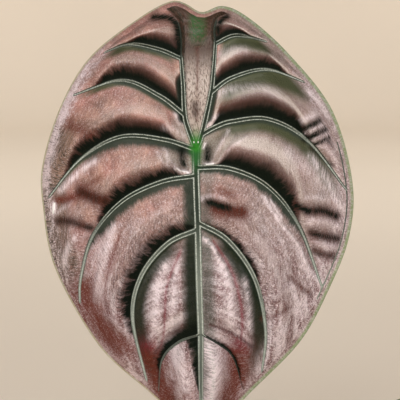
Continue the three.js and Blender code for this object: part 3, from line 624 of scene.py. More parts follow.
    def add_strip(self, left, right):
        """The strip between the two strong veins, up to the notch, where the margin's share is 0"""
        strip = round(STRIP_STEPS * self.detail)
        side = [np.concatenate([h["strong_ids"], h["veins"][0]["ids"][1:]]) for h in (left, right)]
        ends = [np.vstack([h["strong"], h["veins"][0]["points"][1:]]) for h in (left, right)]
        t = np.arange(strip + 1) / strip
        lean = 2 * t - 1
        left_u, right_u = (h["veins"][0]["u"] for h in (left, right))
        notch_u = np.where(lean < 0, -lean * left_u, 1 - lean * (1 - right_u))
        flat = ends[0][:, None] + (ends[1] - ends[0])[:, None] * t[:, None]
        pull = (np.linspace(0, 1, len(flat)) ** 2)[:, None, None]
        flat = flat + pull * (inside_margin(notch_u) - flat[-1])
        rows = np.empty(flat.shape[:2], dtype=int)
        rows[0] = self.midrib_ids[0]
        rows[:, 0], rows[:, -1] = side
        rows[1:, 1:-1] = self.add(flat[1:, 1:-1].reshape(-1, 2)).reshape(len(flat) - 1, strip - 1)
        gap = np.linalg.norm(ends[1] - ends[0], axis=1)[:, None]
        up = np.broadcast_to(flat[:, :1, 1] / TEXTURE_UNIT, rows.shape)
        self.grid(rows, np.stack([t * gap / TEXTURE_UNIT + 20, up], -1), 1)
        self.strip = {"rows": rows, "t": t, "gap": gap}
        return rows[-1], notch_u

    def add_rim(self, edges):
        """The rim, in rows from the inner line to the margin, round the outer edges of all the fields"""
        loop, us = [], []
        for ids, values in edges:
            for k, u in zip(ids.tolist(), values.tolist()):
                if not loop or loop[-1] != k:
                    loop.append(k)
                    us.append(u)
        if loop[0] == loop[-1]:
            loop.pop()
            us.pop()
        rim = [np.array(loop)]
        for k in range(1, RIM_STEPS + 1):
            rim.append(self.add(inside_margin(us, RIM_WIDTH * (1 - k / RIM_STEPS))))
        rim = np.array(rim)
        rim = np.hstack([rim, rim[:, :1]])
        run = np.concatenate([[0], np.cumsum(np.abs(np.diff(us)) % 1)]) * MARGIN_LINE.length / TEXTURE_UNIT
        run = np.append(run, run[-1] + 0.1)
        across = np.broadcast_to(np.linspace(0, RIM_WIDTH / TEXTURE_UNIT, RIM_STEPS + 1)[:, None], rim.shape)
        self.grid(rim, np.stack([np.broadcast_to(run, rim.shape), across + 40], -1), -1)
        self.rim = rim

    def note_vein(self, ids, away, half_width, line=1.0, outward=0.0):
        """Keeps a vein's values at the points that are nearer to it than to the veins noted before"""
        ratio = np.minimum(away / half_width, 9)
        nearer = ratio < self.vein[ids]
        self.cord[ids] = np.where(nearer, half_width, self.cord[ids])
        self.line[ids] = np.where(nearer, line, self.line[ids])
        self.outward[ids] = np.where(nearer, outward, self.outward[ids])
        self.vein[ids] = np.minimum(self.vein[ids], ratio)

    def measure_field(self, f):
        """Swelling, furrow, band and veins of one field"""
        rows, s, t, upper, lower = f["rows"], f["s"], f["t"], f["upper"], f["lower"]
        limit, slope = self.settings.pillow_limit / MM, self.settings.pillow_slope
        flat = self.xy[rows].reshape(-1, 2)
        up, down = (distance_to(flat, vein["points"]).reshape(t.shape) for vein in (upper, lower))
        height = limit * (1 - np.exp(-slope * f["width"] / limit))
        across = np.maximum(np.sin(np.pi * np.clip(t, 0, 1) ** PILLOW_LEAN), 0) ** PILLOW_FULLNESS
        inner = 1 - np.exp(-((f["from_spine"] / SPINE_EASE) ** 1.4))
        outer = np.maximum(1 - s**5, 0) ** 0.8
        rise = height * across * inner * outer
        rise[:, 0] = rise[:, -1] = 0
        self.rise[rows] = rise

        # The furrow above the lower vein, whose dark is partly painted shade, with a thin dark line right
        # beside the vein, and the band below the upper one
        reach = np.interp(s, REACH_AT, lower.get("reach", REACH))
        begun = smooth(s, lower["start"] * 0.6, lower["start"] * 1.4 + 0.01)
        gone = 2.6 * smooth(s, lower["end"] - 0.14, lower["end"] + 0.12)
        furrow = 1 - down / (lower["dark"] * reach * (0.02 + begun)) - gone
        thin = 0.6 * smooth(s, 0.9, 0.6) - down / 0.9
        self.furrow[rows] = np.maximum(self.furrow[rows], np.maximum(furrow, thin))
        band = 1 - up / (upper["band"] * (0.4 + 0.6 * reach)) - 1.6 * smooth(s, 0.52, 0.85)
        self.below[rows] = np.maximum(self.below[rows], band)
        if upper["olive"]:
            olive = smooth(up / upper["olive"], 1.35, 0.6) * smooth(s, 0.02, 0.2) * smooth(s, 1, 0.75)
            self.olive[rows] = np.maximum(self.olive[rows], olive)
        ragged = lower["ragged"][0] + (lower["ragged"][1] - lower["ragged"][0]) * smooth(s, 0.3, 0.7)
        self.ragged[rows] = np.maximum(self.ragged[rows], ragged)
        self.flush[rows] = np.maximum(self.flush[rows], lower["flush"])
        half_width = np.interp(s, *SIDE_VEIN_WIDTHS)
        outward = smooth(s, 0.45, 0.75)
        for away, vein in ((up, upper), (down, lower)):
            self.note_vein(rows, away, half_width * (0.3 + 0.7 * vein["line"]), vein["line"], outward)

    def measure(self):
        """Fills in the distances and shares that the relief and the colours follow"""
        n = self.count
        x, y = self.xy.T
        self.furrow, self.below = np.full(n, FAR), np.full(n, FAR)
        self.rise, self.olive, self.ragged, self.line, self.flush = (np.zeros(n) for _ in range(5))
        self.vein, self.cord, self.outward = np.full(n, 9.0), np.full(n, 0.5), np.zeros(n)
        self.side = np.sign(x - np.interp(-y, *MIDRIB_BENDS))
        for f in self.fields:
            self.measure_field(f)
        everyone = np.arange(n)
        midrib = np.vstack([self.midrib, self.tip[1:]])
        self.to_midrib = distance_to(self.xy, midrib)
        self.note_vein(everyone, self.to_midrib, np.interp(-y, *MIDRIB_WIDTHS))

        # The dark band on the outer side of each strong vein, partly the leaf's dark green and partly painted
        # shade
        for half, sign in ((LEFT, -1), (RIGHT, 1)):
            strong = Curve(half["strong"]).at(np.linspace(0, 1, 60))
            away = distance_to(self.xy, strong)
            self.note_vein(everyone, away, np.interp(np.hypot(x, y), *STRONG_VEIN_WIDTHS))
            outside = sign * (x - np.interp(y, strong[:, 1], strong[:, 0]))
            shade = 1 - away / STRONG_VEIN_BAND
            beside = outside > -0.2
            shade = np.where(shade < 0, 3 * shade, shade) - 3.5 * smooth(y, 32, 48) - 3.5 * smooth(y, 15, 6)
            self.below = np.where(beside, np.maximum(self.below, shade), self.below)
            darker = np.maximum(self.furrow, shade - 0.2 - 0.4 * (sign > 0))
            self.furrow = np.where(beside, darker, self.furrow)

        # The band to the left of the midrib, with a furrow in it whose dark is partly painted shade
        shade = 1 - self.to_midrib / np.interp(-y, *MIDRIB_BAND)
        shade = np.where(shade < 0, 3 * shade, shade)
        left = self.side < 0
        self.below = np.where(left, np.maximum(self.below, shade), self.below)
        self.furrow = np.where(left, np.maximum(self.furrow, shade - 0.35 - smooth(y, -94, -88)), self.furrow)
        self.furrow, self.below = np.maximum(self.furrow, FAR), np.maximum(self.below, FAR)

        # The margin, with the vein that runs beside it on the right, then the strip, the junction and the rim
        margin = MARGIN_LINE.at(np.linspace(0, 1, 501))
        self.edge = distance_to(self.xy, margin)
        self.edge[self.rim[-1]] = 0
        along_right = (x > 50) & (y < 5) & (y > -75)
        away = np.abs(self.edge - RIM_WIDTH)[along_right]
        self.note_vein(everyone[along_right], away, MARGIN_VEIN_WIDTH, 0.7)
        strip = self.strip
        self.rise[strip["rows"][1:-1, 1:-1]] = (0.1 * strip["gap"] * np.ones_like(strip["t"]))[1:-1, 1:-1]
        self.in_strip = np.zeros(n)
        middle = smooth(strip["t"], 0, 0.2) * smooth(strip["t"], 1, 0.8)
        self.in_strip[strip["rows"][1:]] = np.broadcast_to(middle, strip["rows"][1:].shape)
        self.core = np.exp(-(((x / 3.1) ** 2 + ((y + 0.6) / 9.4) ** 2) ** 1.8))
        rim_share = np.linspace(0, 1, RIM_STEPS + 1)[:, None]
        self.rise[self.rim] = -RIM_CURL * rim_share**1.6


def blade_heights(plan, leaf):
    """Height of the upper face at scale 1, in mm, and its painted highlight, redness and painted shade"""
    x, y = plan.xy.T
    from_middle = y - BLADE_MIDDLE[1]
    droop = leaf["droop"]
    along = np.where(y > 0, NOTCH_DROOP * droop * (y / TO_NOTCH) ** 2, droop * (y / TO_TIP) ** 2)
    funnel = JUNCTION_DEPTH * np.exp(-(x * x + y * y) / JUNCTION_SPREAD**2)
    away = smooth(np.hypot(x / HALF_WIDTH, from_middle / HALF_LENGTH), 0.75, 1.05)
    ripple = leaf["wave"] * away * np.sin(7 * np.arctan2(from_middle, x) + leaf["scale"] * 9)
    z = -leaf["dome"] * (x / HALF_WIDTH) ** 2 - along - funnel + ripple + plan.rise

    # The single ridges, dents and marks, with painted highlights on the ridges and painted shade in the dents
    painted_gleam, flush, dark = (np.zeros(len(x)) for _ in range(3))
    for line, half_width, height, painted_shine, red, dent_shade in TOUCHES:
        if len(line) > 2:
            path = Curve(line).at(np.linspace(0, 1, 12))
        else:
            path = np.array(line, dtype=float)
        shape = np.exp(-((distance_to(plan.xy, path) / half_width) ** 2)) * leaf["touch"]
        z += height * shape
        painted_gleam = np.maximum(painted_gleam, painted_shine * shape)
        flush = np.maximum(flush, red * shape)
        # the darkening of a dent is painted shade
        dark = np.maximum(dark, dent_shade * shape)

    # Creases: a fine crumple all over, wrinkles along the margin, and crumpled ridges that fan out below
    seed = round(leaf["scale"] * 100)
    inside = smooth(plan.vein, 1, 4) * smooth(plan.edge, 1, 6)
    crumple = plan.settings.crumple / MM
    rough = 0.5 + 0.5 * plan.ragged
    z += crumple * inside * rough * (noise(x / 7, y / 9, seed) + 0.7 * noise(x / 3.1, y / 4, seed + 1))
    z += 0.5 * crumple * smooth(plan.edge, 26, 8) * inside * noise(x / 5, y / 1.8, seed + 2)
    lower = inside * np.clip(smooth(y, -10, -60) + 0.6 * plan.ragged, 0, 1.2)
    turn = np.arctan2(y + 30, np.abs(x) + 8)
    away = np.hypot(np.abs(x) + 8, y + 30)
    ridges = 1 - np.abs(noise(turn * 16 + 40, away / 7, seed + 3)) * 2.4
    z += 0.9 * crumple * lower * np.maximum(ridges, -0.6) * smooth(noise(x / 14, y / 14, seed + 4), -0.3, 0.4)

    # The furrows are sunk and the veins stand up as cords
    z -= 0.7 * smooth(plan.furrow, -0.6, 0.3) * smooth(plan.furrow, 0.95, 0.6)
    z += 0.35 * plan.cord * plan.line * smooth(plan.vein, 1.7, 0.7)
    return z, painted_gleam, flush, dark


def place_of(leaf):
    """The matrix from a blade's own plane, in mm, to the scene, in metres"""
    return (Matrix.Scale(MM, 4) @ Matrix.Translation(leaf["junction"])
            @ Matrix.Rotation(math.radians(leaf["facing"]), 4, "Z")
            @ Matrix.Rotation(math.radians(90 - leaf["tilt"]), 4, "X"))


def build_blade(leaf, plan, settings):
    """One blade as a closed mesh: upper face, underside with raised veins, and a rounded edge between them"""
    z, painted_gleam, flush, dark = blade_heights(plan, leaf)
    n = plan.count
    veins = 1.25 * plan.cord * np.exp(-((plan.vein / 1.5) ** 2)) * smooth(plan.edge, 1, 8)
    under = z - settings.thickness / MM / leaf["scale"] - veins
    outer = plan.rim[-1][:-1]
    away = plan.xy[outer] - np.array(BLADE_MIDDLE)
    bulge = plan.xy[outer] + EDGE_BULGE * away / np.linalg.norm(away, axis=1)[:, None]
    middle = np.column_stack([bulge, (z[outer] + under[outer]) / 2])
    points = np.vstack([np.column_stack([plan.xy, z]), np.column_stack([plan.xy, under]), middle])
    points *= (leaf["scale"] * leaf["mirror"], leaf["scale"], leaf["scale"])
    faces = [list(f) for f in plan.squares] + [[n + k for k in reversed(f)] for f in plan.squares]
    count = len(outer)
    ring = np.arange(2 * n, 2 * n + count)
    for k in range(count):
        j = (k + 1) % count
        faces.append([int(outer[k]), int(ring[k]), int(ring[j]), int(outer[j])])
        faces.append([int(ring[k]), int(n + outer[k]), int(n + outer[j]), int(ring[j])])
    if leaf["mirror"] < 0:
        faces = [f[::-1] for f in faces]
    matrix = place_of(leaf) @ Matrix.Rotation(math.radians(leaf["roll"]), 4, "Z")
    world = points @ np.array(matrix.to_3x3()).T + np.array(matrix.translation)
    mesh = bpy.data.meshes.new("blade_" + leaf["name"])
    mesh.from_pydata(world.tolist(), [], faces)
    tops = len(plan.squares)
    index = np.zeros(len(faces), dtype=np.int32)
    index[tops : 2 * tops] = 1
    mesh.polygons.foreach_set("material_index", index)
    vectors = {
        "lines": (plan.vein, plan.edge, plan.to_midrib * np.where(plan.side < 0, -1, 1)),
        "bands": (plan.furrow, plan.below, plan.olive),
        # The touches' painted highlight, redness and painted shade
        "touches": (painted_gleam, flush, dark),
        "zones": (plan.in_strip, plan.core, plan.ragged),
        "marks": (plan.line, plan.flush, plan.outward),
        "plane": (plan.xy[:, 0], plan.xy[:, 1], z),
    }
    for name, parts in vectors.items():
        values = np.column_stack(parts)
        write_vectors(mesh, name, np.concatenate([values, values, values[outer]]))
    top_uv = [list(v) for v in plan.uvs]
    bottom_uv, at = [], 0
    for square in plan.squares:
        bottom_uv.extend(top_uv[at : at + len(square)][::-1])
        at += len(square)
    edge_uv = [[0, 60]] * (8 * count)  # one plain place for the rounded edge
    if leaf["mirror"] < 0:
        top_uv, bottom_uv = bottom_uv, top_uv
    write_uv(mesh, "veins", top_uv + bottom_uv + edge_uv)
    mesh.update()
    return object_of("leaf_blade_" + leaf["name"], mesh)


# Small helpers

def object_of(name, mesh):
    """A new piece of the scene from a mesh"""
    piece = bpy.data.objects.new(name, mesh)
    bpy.context.scene.collection.objects.link(piece)
    return piece


def write_vectors(mesh, name, values):
    """Keeps three values for each point of a mesh"""
    data = mesh.attributes.new(name, "FLOAT_VECTOR", "POINT")
    data.data.foreach_set("vector", values.astype(np.float32).ravel())


def write_uv(mesh, name, corners):
    """Gives a smooth mesh a UV map"""
    uv = mesh.uv_layers.new(name=name)
    uv.data.foreach_set("uv", np.array(corners, dtype=np.float32).ravel())
    mesh.polygons.foreach_set("use_smooth", np.ones(len(mesh.polygons), dtype=bool))


def only(piece):
    """Selects one piece alone and makes it the active one"""
    bpy.ops.object.select_all(action="DESELECT")
    piece.select_set(True)
    bpy.context.view_layer.objects.active = piece


def settle(piece):
    """Puts a piece's place into its mesh and leaves its object at the origin"""
    only(piece)
    bpy.ops.object.transform_apply(location=True, rotation=True, scale=True)
    return piece


def face_outwards(piece):
    """Turns every face of a closed piece outwards"""
    only(piece)
    bpy.ops.object.mode_set(mode="EDIT")
    bpy.ops.mesh.select_all(action="SELECT")
    bpy.ops.mesh.normals_make_consistent(inside=False)
    bpy.ops.object.mode_set(mode="OBJECT")


def dress(piece, *materials):
    """Gives a piece its materials"""
    for material in materials:
        piece.data.materials.append(material)


def apply_modifier(piece, kind, **settings):
    """Adds a modifier and applies it"""
    only(piece)
    modifier = piece.modifiers.new(kind.title(), kind)
    for key, value in settings.items():
        setattr(modifier, key, value)
    bpy.ops.object.modifier_apply(modifier=modifier.name)


def write_points(piece, points):
    """Moves a piece's points, in metres"""
    piece.data.vertices.foreach_set("co", np.asarray(points, dtype=np.float32).ravel())
    piece.data.update()


def read_points(piece):
    """A piece's points, in metres"""
    points = np.empty(len(piece.data.vertices) * 3, dtype=np.float32)
    piece.data.vertices.foreach_get("co", points)
    return points.reshape(-1, 3).astype(float)


# Materials

# Shades of the blade that go with the colours in its settings
BLUSH = (0.46, 0.19, 0.17)
GREY_CAST = (0.34, 0.31, 0.3)
LENS_SHADE = (0.17, 0.12, 0.125)
DULL_STREAK = (0.15, 0.085, 0.075)
# A painted highlight along the crests of the swellings
PAINTED_CREST_HIGHLIGHT = (0.62, 0.55, 0.5)
# Paler facets round the junction, painted as light on them
LIT_ROOT = (0.36, 0.35, 0.31)
# Painted shadow between the folds of the lower half
FOLD_SHADOW = (0.17, 0.07, 0.068)
TOOTH_SHADE = (0.11, 0.05, 0.045)
# Painted shade in the crumples of the lower half
FOIL_SHADOW = (0.12, 0.055, 0.055)
TAN = (0.17, 0.125, 0.09)
DARK_HAIR = (0.03, 0.032, 0.022)
# A painted pale sheen along the left margin
PALE_HEM_SHEEN = (0.7, 0.6, 0.64)
# Painted shade in the creases
CREASE_SHADOW = (0.04, 0.025, 0.025)
BROWN_SHADOW = (0.07, 0.03, 0.024)
LOW_OLIVE = (0.014, 0.021, 0.009)
NOTCH_PALE = (0.5, 0.43, 0.39)
NOTCH_DARK = (0.05, 0.025, 0.016)
NOTCH_GREEN = (0.03, 0.085, 0.026)
NOTCH_DASH = (0.1, 0.07, 0.055)
CRIMSON = (0.2, 0.03, 0.042)
# Painted warm glints in the red-brown
FLUSH_GLINT = (0.8, 0.6, 0.5)
LOW_BAND = (0.01, 0.017, 0.009)
# The rim's paler green on the left: partly its own colour, partly a painted highlight
LEFT_RIM_AND_HIGHLIGHT = (0.55, 0.52, 0.34)
RIM_FLECK = (0.6, 0.64, 0.56)
LOW_CORD = (0.2, 0.23, 0.195)
# The junction's darker green lower down, partly painted light shining through
LOW_HEART = (0.025, 0.12, 0.028)
# Painted white glints
PAINTED_WHITE_GLINT = (0.95, 0.96, 0.95)
UNDER_DIM = (0.02, 0.012, 0.012)
UNDER_STREAK = (0.2, 0.07, 0.06)
# Shades of the stalks, the crown, the pot and the mix
STALK_PALE = (0.3, 0.33, 0.13)
SHEATH_STRAW = (0.35, 0.3, 0.16)
HUSK_SHADE = (0.09, 0.05, 0.025)
HUSK_STRAW = (0.42, 0.3, 0.17)
CLAY_SHADE = (0.16, 0.06, 0.03)
CLAY_SPECK = (0.75, 0.4, 0.24)
SOIL_PATCH = (0.055, 0.035, 0.02)
SOIL_CRUMB = (0.1, 0.065, 0.04)
BARK_PALE = (0.3, 0.16, 0.08)
BARK_SHADE = (0.04, 0.02, 0.012)
PALE_GRAIN_SHADE = (0.42, 0.38, 0.32)
VIEWPORT_GREY = (0.5, 0.5, 0.5, 1)


class Tree:
    """Short hand for the nodes of one material or group"""

    def __init__(self, tree):
        self.tree = tree

    def add(self, kind, inputs=None, **settings):
        """A new shader node with its settings and inputs"""
        node = self.tree.nodes.new("ShaderNode" + kind)
        for name, value in settings.items():
            setattr(node, name, value)
        for name, value in (inputs or {}).items():
            self.plug(value, node.inputs[name])
        return node

    def plug(self, value, socket):
        """Joins a socket to another one, or sets its value"""
        if isinstance(value, bpy.types.NodeSocket):
            self.tree.links.new(value, socket)
        elif socket.type == "RGBA":
            socket.default_value = (*value, 1)
        else:
            socket.default_value = value

    def maths(self, operation, *values, clamp=False):
        """The result of one operation on values"""
        node = self.add("Math", operation=operation, use_clamp=clamp)
        for value, socket in zip(values, node.inputs):
            self.plug(value, socket)
        return node.outputs[0]

    def times(self, *values):
        """The product of values"""
        out = values[0]
        for value in values[1:]:
            out = self.maths("MULTIPLY", out, value)
        return out

    def most(self, *values):
        """The greatest of values"""
        out = values[0]
        for value in values[1:]:
            out = self.maths("MAXIMUM", out, value)
        return out

    def ramp(self, value, low, high, out_low=0.0, out_high=1.0):
        """Value from low to high, eased, as out_low to out_high"""
        ends = {"Value": value, "From Min": low, "From Max": high, "To Min": out_low, "To Max": out_high}
        return self.add("MapRange", ends, interpolation_type="SMOOTHSTEP").outputs["Result"]

    def mix(self, share, a, b):
        """A colour from a to b by share"""
        node = self.add("Mix", data_type="RGBA")
        for value, k in ((share, 0), (a, 6), (b, 7)):
            self.plug(value, node.inputs[k])
        return node.outputs[2]

    def layers(self, colour, shades):
        """A colour with further ones laid over it in turn, each by its share"""
        for share, shade in shades:
            colour = self.mix(share, colour, shade)
        return colour

    def stretch(self, vector, scale):
        """A place scaled along each axis"""
        return self.add("Mapping", {"Vector": vector, "Scale": scale}).outputs[0]

    def noise(self, vector, scale, detail=2, rough=0.5):
        """Noise from 0 to 1 at a place"""
        inputs = {"Vector": vector, "Scale": scale, "Detail": detail, "Roughness": rough}
        return self.add("TexNoise", inputs).outputs["Fac"]

    def object_place(self):
        """The place on the piece, in metres"""
        return self.add("TexCoord").outputs["Object"]

    def uv(self, name):
        """The place in one of the piece's UV maps"""
        return self.add("UVMap", uv_map=name).outputs[0]

    def vector(self, name):
        """A vector kept for each point"""
        return self.add("Attribute", attribute_name=name).outputs["Vector"]

    def attribute(self, name):
        """The three values of a vector kept for each point"""
        parts = self.add("SeparateXYZ", {0: self.vector(name)})
        return parts.outputs[0], parts.outputs[1], parts.outputs[2]

    def group(self, tree, inputs):
        """A node for a shared group"""
        node = self.add("Group", node_tree=tree)
        for name, value in inputs.items():
            self.plug(value, node.inputs[name])
        return node

    def grain(self, place, grain_scale, patch_scale):
        """Fine grain and broad patches at a place"""
        inputs = {"Place": place, "Grain scale": grain_scale, "Patch scale": patch_scale}
        node = self.group(shared_group("grain", grain_group), inputs)
        return node.outputs["Grain"], node.outputs["Patches"]

    def streaks(self, place, across, along):
        """Broken streaks at a place, with their numbers across and along a unit"""
        inputs = {"Place": place, "Across": across, "Along": along}
        return self.group(shared_group("streaks", streaks_group), inputs).outputs[0]

    def bump(self, height, distance, strength):
        """A normal roughened by a height"""
        inputs = {"Height": height, "Distance": distance, "Strength": strength}
        return self.add("Bump", inputs).outputs["Normal"]

    def look(self, shader, colour, normal, roughness=None):
        """Gives a shader its colour, its normal and its roughness"""
        self.plug(colour, shader.inputs["Base Color"])
        self.plug(normal, shader.inputs["Normal"])
        if roughness is not None:
            self.plug(roughness, shader.inputs["Roughness"])


def new_material(name, **sockets):
    """A material, the short hand for its nodes, and its shader"""
    material = bpy.data.materials.new(name)
    material.use_nodes = True
    material.node_tree.nodes.clear()
    tree = Tree(material.node_tree)
    shader = tree.add("BsdfPrincipled", sockets)
    out = tree.add("OutputMaterial", {"Surface": shader.outputs[0]})
    out.location = (300, 0)
    material.diffuse_color = VIEWPORT_GREY
    return material, tree, shader


def new_group(name, inputs, outputs):
    """A shader node group: its tree, its short hand, and its input and output nodes"""
    group = bpy.data.node_groups.new(name, "ShaderNodeTree")
    for direction, sockets in (("INPUT", inputs), ("OUTPUT", outputs)):
        for socket, kind, default in sockets:
            made = group.interface.new_socket(name=socket, in_out=direction, socket_type="NodeSocket" + kind)
            if default is not None:
                made.default_value = default
    start, end = group.nodes.new("NodeGroupInput"), group.nodes.new("NodeGroupOutput")
    return group, Tree(group), start.outputs, end.inputs


def grain_group():
    """Fine grain and broad patches from a place, each from 0 to 1"""
    inputs = [("Place", "Vector", None), ("Grain scale", "Float", 1), ("Patch scale", "Float", 0.1)]
    outputs = [("Grain", "Float", None), ("Patches", "Float", None)]
    group, t, start, end = new_group("grain", inputs, outputs)
    t.plug(t.noise(start["Place"], start["Grain scale"], 3, 0.6), end["Grain"])
    broad = t.noise(start["Place"], start["Patch scale"], 2, 0.5)
    t.plug(t.ramp(broad, 0.35, 0.65), end["Patches"])
    return group


def streaks_group():
    """Fine broken streaks that run along v, many to a unit of u, from 0 to 1"""
    inputs = [("Place", "Vector", None), ("Across", "Float", 14), ("Along", "Float", 1.5)]
    group, t, start, end = new_group("streaks", inputs, [("Streaks", "Float", None)])
    size = t.add("CombineXYZ", {"X": start["Across"], "Y": start["Along"], "Z": 1.0}).outputs[0]
    place = t.add("VectorMath", {0: start["Place"], 1: size}, operation="MULTIPLY").outputs[0]
    t.plug(t.ramp(t.noise(place, 1, 3, 0.65), 0.28, 0.72), end["Streaks"])
    return group


def shared_group(name, make):
    """A node group, made the first time it's asked for"""
    return bpy.data.node_groups.get(name) or make()


def notch_shade(t, x, y, dashes):
    """Colour of the strip between the strong veins: pale, then dark, and green in its middle at the notch"""
    shade = t.mix(t.ramp(y, 32, 52), NOTCH_PALE, NOTCH_DARK)
    off_middle = t.maths("ABSOLUTE", t.maths("SUBTRACT", x, 0.8))
    middle = t.times(t.ramp(off_middle, 6, 1.5), t.ramp(y, 49, 58))
    return t.layers(shade, [(middle, NOTCH_GREEN), (t.ramp(dashes, 0.7, 0.1, 0, 0.75), NOTCH_DASH)])


def upper_material(s):
    """The upper face: copper swellings, dark furrows, grey-green bands, corded veins, green heart and edge,
    with painted highlights, painted sheen and painted shade
    """
    material, t, shader = new_material("blade_upper", **{"Specular IOR Level": 0.06, "Coat Roughness": 0.25})
    vein, edge, midrib = t.attribute("lines")
    furrow, below, olive = t.attribute("bands")
    painted_gleam, flush, dark = t.attribute("touches")
    strip, core, ragged = t.attribute("zones")
    line, red, outward = t.attribute("marks")
    x, y, _ = t.attribute("plane")
    sideways = t.maths("ABSOLUTE", x)

    # Patterns: grain in the plane, streaks along the veins and streaks across them
    plane = t.vector("plane")
    uv = t.uv("veins")
    parts = t.add("SeparateXYZ", {0: uv})
    crossed = t.add("CombineXYZ", {0: parts.outputs[1], 1: parts.outputs[0]}).outputs[0]
    fine, patches = t.grain(plane, 1.65, 0.1)
    coarse = t.streaks(uv, 2.6, 0.7)
    comb = t.streaks(uv, 9, 1.8)
    fibres = t.streaks(uv, 17, 2.3)
    dashes = t.streaks(uv, 13, 5)
    folds = t.streaks(crossed, 2.2, 0.5)
    crimps = t.streaks(crossed, 8, 2.4)
    foil = t.noise(t.stretch(plane, (1.1, 0.55, 1)), 1, 3, 0.65)
    tooth = t.maths("MULTIPLY_ADD", t.maths("SUBTRACT", dashes, 0.5), 0.16, fine)
    dashed = t.maths("MULTIPLY_ADD", dashes, 0.5, fine)
    blush = t.ramp(t.noise(plane, 0.055, 2, 0.6), 0.42, 0.68)

    # The furrows with their torn edges, whose near-black is partly painted shade, and what lies beside them:
    # a red-brown that is partly painted shade, a painted shadow and a painted highlight on the crests
    torn = t.maths("MULTIPLY_ADD", coarse, 1.4, t.maths("ADD", t.times(comb, 0.5), t.times(fibres, 0.7)))
    jag = t.times(t.maths("SUBTRACT", torn, 1.3), t.maths("MULTIPLY_ADD", ragged, 0.85, 0.04))
    in_furrow = t.ramp(t.maths("ADD", furrow, jag), -0.25, 0.45)
    soft = t.maths("MULTIPLY_ADD", jag, 0.5, furrow)
    # the red-brown beside the furrows, partly painted shade
    in_flush_and_shade = t.times(t.ramp(soft, -0.8, 0.05), red, t.ramp(patches, 0, 1, 1, 0.8))
    in_shadow = t.ramp(soft, -0.75, 0.12)
    # a painted highlight along the crest of each swelling
    crest_highlight = t.times(t.ramp(soft, -1.8, -1.1), t.ramp(soft, -0.4, -0.8), t.maths("SUBTRACT", 1.0, ragged))
    hairs = t.times(t.ramp(fibres, 0.46, 0.16), t.ramp(furrow, -1.8, -0.1), ragged, 0.95)
    in_band = t.ramp(t.maths("MULTIPLY_ADD", jag, 0.4, below), -0.45, 0.4)
    in_wash = t.times(t.ramp(midrib, 10, 5), t.ramp(midrib, -0.5, 0.5), t.ramp(y, -12, -30, 0.4, 0.95))
    # Painted shade: the furrows' near-black and hairs, partly the leaf's dark green, and the dents' painted
    # shade
    shade = t.most(in_furrow, t.times(dark, t.ramp(comb, 0.9, 0.2, 0.75, 1)), hairs)

    # The veins, with two pale lines that become one towards the margin: partly the veins' paler green, partly
    # painted highlights on the cords' edges
    on_vein = t.times(t.ramp(vein, 1.25, 0.9), t.ramp(line, 0.05, 0.45))
    double = t.ramp(t.maths("ABSOLUTE", t.maths("SUBTRACT", vein, 0.66)), 0.3, 0.06)
    single = t.ramp(vein, 0.7, 0.25)
    on_line_and_glint = t.times(t.maths("ADD", double, t.times(outward, t.maths("SUBTRACT", single, double))), line)

    # The painted silvery sheen of the margin and the lower half, and their creases, with painted glints and
    # painted shade in them
    low = t.ramp(y, -12, -80)
    near_edge = t.ramp(edge, t.ramp(x, -20, 20, 8.5, 15), 4)
    left_third, right_third = t.ramp(x, -30, -55), t.ramp(x, 40, 66)
    both_sides = t.maths("ADD", t.times(left_third, 0.75), t.times(right_third, 0.9), clamp=True)
    at_margin = t.times(near_edge, t.ramp(y, 62, 40), both_sides)
    hazy_sheen = t.times(at_margin, t.ramp(fibres, 0.15, 0.6, 0.4, 0.9))
    lilac_sheen = t.maths("ADD", hazy_sheen, t.times(low, 0.6), clamp=True)
    creased = t.maths("ADD", t.times(low, 0.55), t.times(ragged, 0.45), clamp=True)
    crease_shadow = t.times(t.ramp(dashed, 0.64, 0.5), creased)
    # painted glints along the crimps by the margin and in specks where the surface is creased
    crimp_glint = t.ramp(t.maths("MULTIPLY_ADD", crimps, 0.45, fine), 0.72, 0.86)
    glint_specks = t.times(t.ramp(dashed, 0.84, 0.98), creased, 0.65)
    painted_glint = t.maths("ADD", t.times(crimp_glint, at_margin, 0.7), glint_specks, clamp=True)
    lens = t.times(t.ramp(y, -42, -56), t.ramp(y, -104, -94), t.ramp(sideways, 32, 24))

    # The left side's tan slope and its pale hem, a painted sheen, and the paler surface round the junction,
    # painted as light on its facets
    left_side = t.times(t.ramp(x, -38, -55), t.ramp(y, -78, -55))
    tan = t.times(left_side, t.ramp(edge, 16, 10), t.ramp(y, 22, 6))
    hem_sheen = t.maths("ADD", edge, t.ramp(t.noise(plane, 0.16, 3, 0.6), 0.3, 0.7, -1.4, 2))
    hem_sheen = t.times(t.ramp(hem_sheen, 6, 3.6), left_side, t.ramp(y, -28, -12), t.ramp(y, 50, 24, 0.35, 1))
    hem_sheen = t.times(hem_sheen, t.ramp(fibres, 0.15, 0.5, 0.4, 0.95), t.ramp(fine, 0.3, 0.6, 0.55, 1))
    radius = t.maths("SQRT", t.maths("ADD", t.times(x, x), t.times(y, y)))
    lit_root = t.times(t.ramp(radius, 22, 9), t.ramp(fine, 0.35, 0.6, 0.45, 0.8))

